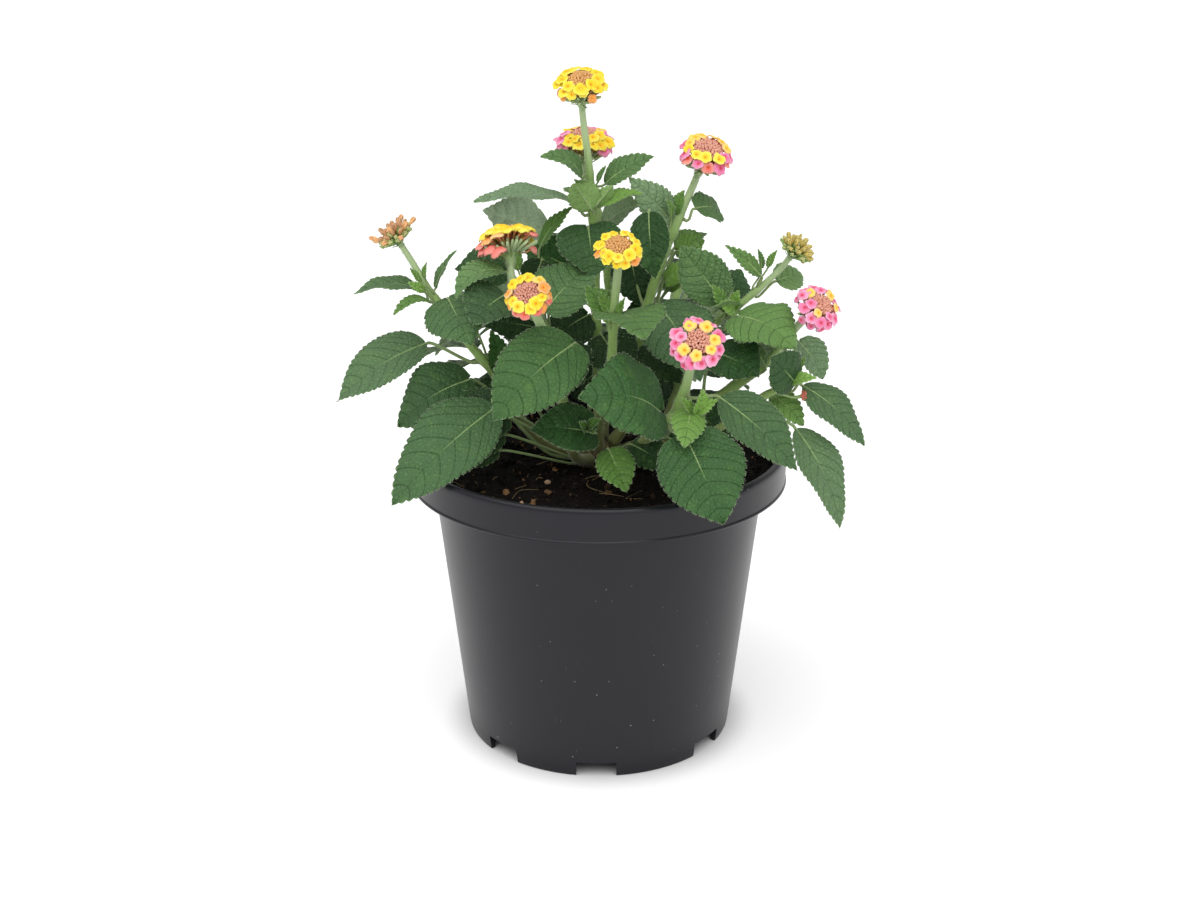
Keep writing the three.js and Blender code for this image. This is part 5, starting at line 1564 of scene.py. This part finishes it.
class LANTANA_OT_leaves(bpy.types.Operator):
    """Makes each large leaf with its stalk"""

    bl_idname = "lantana.leaves"
    bl_label = "Large leaves"

    def execute(self, context):
        settings = context.scene.lantana_plant
        leaf, _ = plant_finishes(settings)
        for order, (name, row) in enumerate(LEAVES.items()):
            rng = np.random.default_rng(settings.seed * 1000 + order)
            path = None if row[0] == "crown" else shoot_path(row[0])
            skin = Skin()
            add_leaf(skin, Blade(row, path, False), rng, settings.quilting)
            belong(skin.piece("blade_" + name, leaf), "leaf", "leaf_" + name)
        return {"FINISHED"}


# Each kind of floret: the colours of its edge, of the ring round its throat and of its eye.
PETALS = {
    "yellow": ((255, 242, 104), (248, 190, 14), (216, 132, 14)),
    "cream": ((252, 196, 150), (250, 186, 40), (236, 130, 30)),
    "orange": ((250, 204, 140), (244, 160, 50), (200, 96, 30)),
    "salmon": ((248, 172, 158), (232, 96, 70), (180, 50, 50)),
    "pink": ((248, 184, 208), (226, 84, 122), (196, 44, 80)),
}


class LANTANA_OT_flower_heads(bpy.types.Operator):
    """Makes the flower heads: florets, buds, calyxes and bracts"""

    bl_idname = "lantana.flower_heads"
    bl_label = "Flower heads"

    SLOTS = {"rear_top": "pink_petals", "front_right": "pink_petals", "right_low": "pink_petals",
             "left_tall": "peach_buds", "right_tall": "green_buds"}

    def execute(self, context):
        settings = context.scene.lantana_flowers
        _, shoot = plant_finishes(context.scene.lantana_plant)
        petals = [petal_finish("petal_" + kind, getattr(settings, kind), *(rgb(*numbers) for numbers in rows))
                  for kind, rows in PETALS.items()]
        buds = {"peach": bud_finish("bud_peach", settings.peach_bud, rgb(150, 62, 30)),
                "coral": bud_finish("bud_coral", settings.coral_bud, rgb(150, 44, 40)),
                "left_tall": bud_finish("bud_apricot", rgb(252, 192, 128), rgb(176, 120, 92)),
                "right_tall": bud_finish("bud_straw", rgb(232, 208, 124), rgb(110, 124, 52))}
        young_bud = bud_finish("bud_green", rgb(214, 216, 148), rgb(90, 124, 58))
        rust = bud_finish("bud_rust", rgb(234, 176, 134), rgb(104, 104, 50))
        tube = bud_finish("floret_tube", rgb(236, 156, 104), rgb(160, 140, 84))
        for order, name in enumerate(HEADS):
            rng = np.random.default_rng(HEAD_SEED + order)
            node = "flower_head_" + name
            is_open = name in OPEN_HEADS
            skin = Skin()
            (add_florets if is_open else add_closed_head)(skin, name, rng)
            bud = buds[OPEN_HEADS[name][2] if is_open else name]
            florets = skin.piece("florets_" + name, [*petals, bud, tube if is_open else rust, young_bud])
            belong(florets, self.SLOTS.get(name, "yellow_petals"), node)
            skin = Skin()
            add_calyx(skin, name, rng)
            belong(skin.piece("calyx_" + name, shoot), "green_stem", node)
        return {"FINISHED"}


# ---- Stage ----------------------------------------------------------------------------------------------
CAMERA = {"place": (0.67, -807.5, 433.15), "target": (0.67, 0, 148.3), "lens": 50.64}
FLOOR_REACH = 6000
PAINTED_SHADE_RADII, PAINTED_GLOW_RADII = (50, 66), (64, 86)  # where the painted shade under the pot fades out, and where the floor's painted glow comes in
# Each lamp: where it shines from, how wide it is in degrees, and its share of the key light.
LAMPS = {"overhead": ((-0.25, -0.45, 1.0), 75, 0.75), "fill": ((0.5, -1.0, 0.8), 50, 0.25)}


def put(name, data, place, target):
    """Adds a camera or lamp that looks from a place towards a target."""
    holder = bpy.data.objects.new(name, data)
    bpy.context.scene.collection.objects.link(holder)
    holder.location = place
    holder.rotation_euler = (target - place).to_track_quat("-Z", "Y").to_euler()
    return holder


class LANTANA_OT_stage(bpy.types.Operator):
    """Makes the floor, the lights and the camera"""

    bl_idname = "lantana.stage"
    bl_label = "Stage"

    def execute(self, context):
        settings = context.scene.lantana_stage
        skin = Skin()
        skin.add([(x * FLOOR_REACH, y * FLOOR_REACH, 0) for x, y in ((-1, -1), (1, -1), (1, 1), (-1, 1))],
                 [(0, 1, 2, 3)])
        floor = skin.piece("floor", [self.floor_finish(settings)])
        self.light(context.scene, settings)
        place, target = (Vector(CAMERA[key]) * MM for key in ("place", "target"))
        camera = put("camera", bpy.data.cameras.new("camera"), place, target)
        camera.data.lens = CAMERA["lens"]
        camera.data.sensor_width = 36
        camera.data.clip_start = 0.01
        context.scene.camera = camera
        context.scene.view_settings.view_transform = "Standard"
        context.scene.view_settings.look = "None"
        return {"FINISHED"}

    @staticmethod
    def floor_finish(settings):
        """A pale floor with painted shade under the pot, and a painted glow from just beyond the pot
        outwards, so that the shadow is soft.
        """
        f = Finish("pale_floor")
        cloud = f.noise(300)
        x, y, _ = f.parts(f.place())
        radius = (x * x + y * y) ** 0.5
        colour = f.blend(settings.floor, tint(settings.floor, 1.02), cloud)
        # Painted shade: near black under the pot, where the pot's shadow lies.
        colour = f.blend((0.03, 0.03, 0.03), colour, radius.step(*PAINTED_SHADE_RADII))
        # Painted glow: the floor gives off light of its own beyond the pot, which lightens its shadow there.
        glow = {"Specular IOR Level": 0.1, "Emission Strength": 0.33,
                "Emission Color": f.blend((0, 0, 0), (1, 1, 1), radius.step(*PAINTED_GLOW_RADII))}
        return f.surface(colour, 0.9, None, glow)

    @staticmethod
    def light(scene, settings):
        """White surroundings and large soft lamps above."""
        world = bpy.data.worlds.new("white_surround")
        scene.world = world
        world.use_nodes = True
        nodes, link = world.node_tree.nodes, world.node_tree.links.new
        nodes.clear()
        kinds = ("MixShader", "LightPath", "OutputWorld")
        mix, way, output = (nodes.new("ShaderNode" + kind) for kind in kinds)
        link(way.outputs["Is Camera Ray"], mix.inputs[0])
        for socket, strength in ((1, settings.surround), (2, 1.0)):
            background = nodes.new("ShaderNodeBackground")
            background.inputs["Strength"].default_value = strength
            background.inputs["Color"].default_value = (1, 1, 1, 1)
            link(background.outputs[0], mix.inputs[socket])
        link(mix.outputs[0], output.inputs[0])
        for name, (place, spread, share) in LAMPS.items():
            lamp = bpy.data.lights.new(name, "SUN")
            lamp.energy, lamp.angle = settings.key * share, math.radians(spread)
            put(name, lamp, Vector(place), Vector((0, 0, 0)))


class LANTANA_PT_panel(bpy.types.Panel):
    """Lists the plant's parts in the sidebar"""

    bl_idname = "LANTANA_PT_panel"
    bl_label = "Lantana"
    bl_space_type = "VIEW_3D"
    bl_region_type = "UI"
    bl_category = "Lantana"

    def draw(self, context):
        layout = self.layout
        for group in GROUPS:
            settings = getattr(context.scene, group)
            box = layout.box()
            for key in settings.__annotations__:
                box.prop(settings, key)
        for operator in OPERATORS:
            layout.operator(operator.bl_idname)


GROUPS = {
    "lantana_pot": LANTANA_PG_pot,
    "lantana_soil": LANTANA_PG_soil,
    "lantana_plant": LANTANA_PG_plant,
    "lantana_flowers": LANTANA_PG_flowers,
    "lantana_stage": LANTANA_PG_stage,
}
OPERATORS = (LANTANA_OT_pot, LANTANA_OT_soil, LANTANA_OT_crown, LANTANA_OT_shoots, LANTANA_OT_leaves,
             LANTANA_OT_flower_heads, LANTANA_OT_stage)


def register():
    for name, group in GROUPS.items():
        bpy.utils.register_class(group)
        setattr(bpy.types.Scene, name, PointerProperty(type=group))
    for cls in (*OPERATORS, LANTANA_PT_panel):
        bpy.utils.register_class(cls)


def unregister():
    for cls in reversed((*OPERATORS, LANTANA_PT_panel)):
        bpy.utils.unregister_class(cls)
    for name, group in GROUPS.items():
        delattr(bpy.types.Scene, name)
        bpy.utils.unregister_class(group)


def main():
    register()
    bpy.ops.lantana.pot()
    bpy.ops.lantana.soil()
    bpy.ops.lantana.crown()
    bpy.ops.lantana.shoots()
    bpy.ops.lantana.leaves()
    bpy.ops.lantana.flower_heads()
    bpy.ops.lantana.stage()


if __name__ == "__main__":
    main()
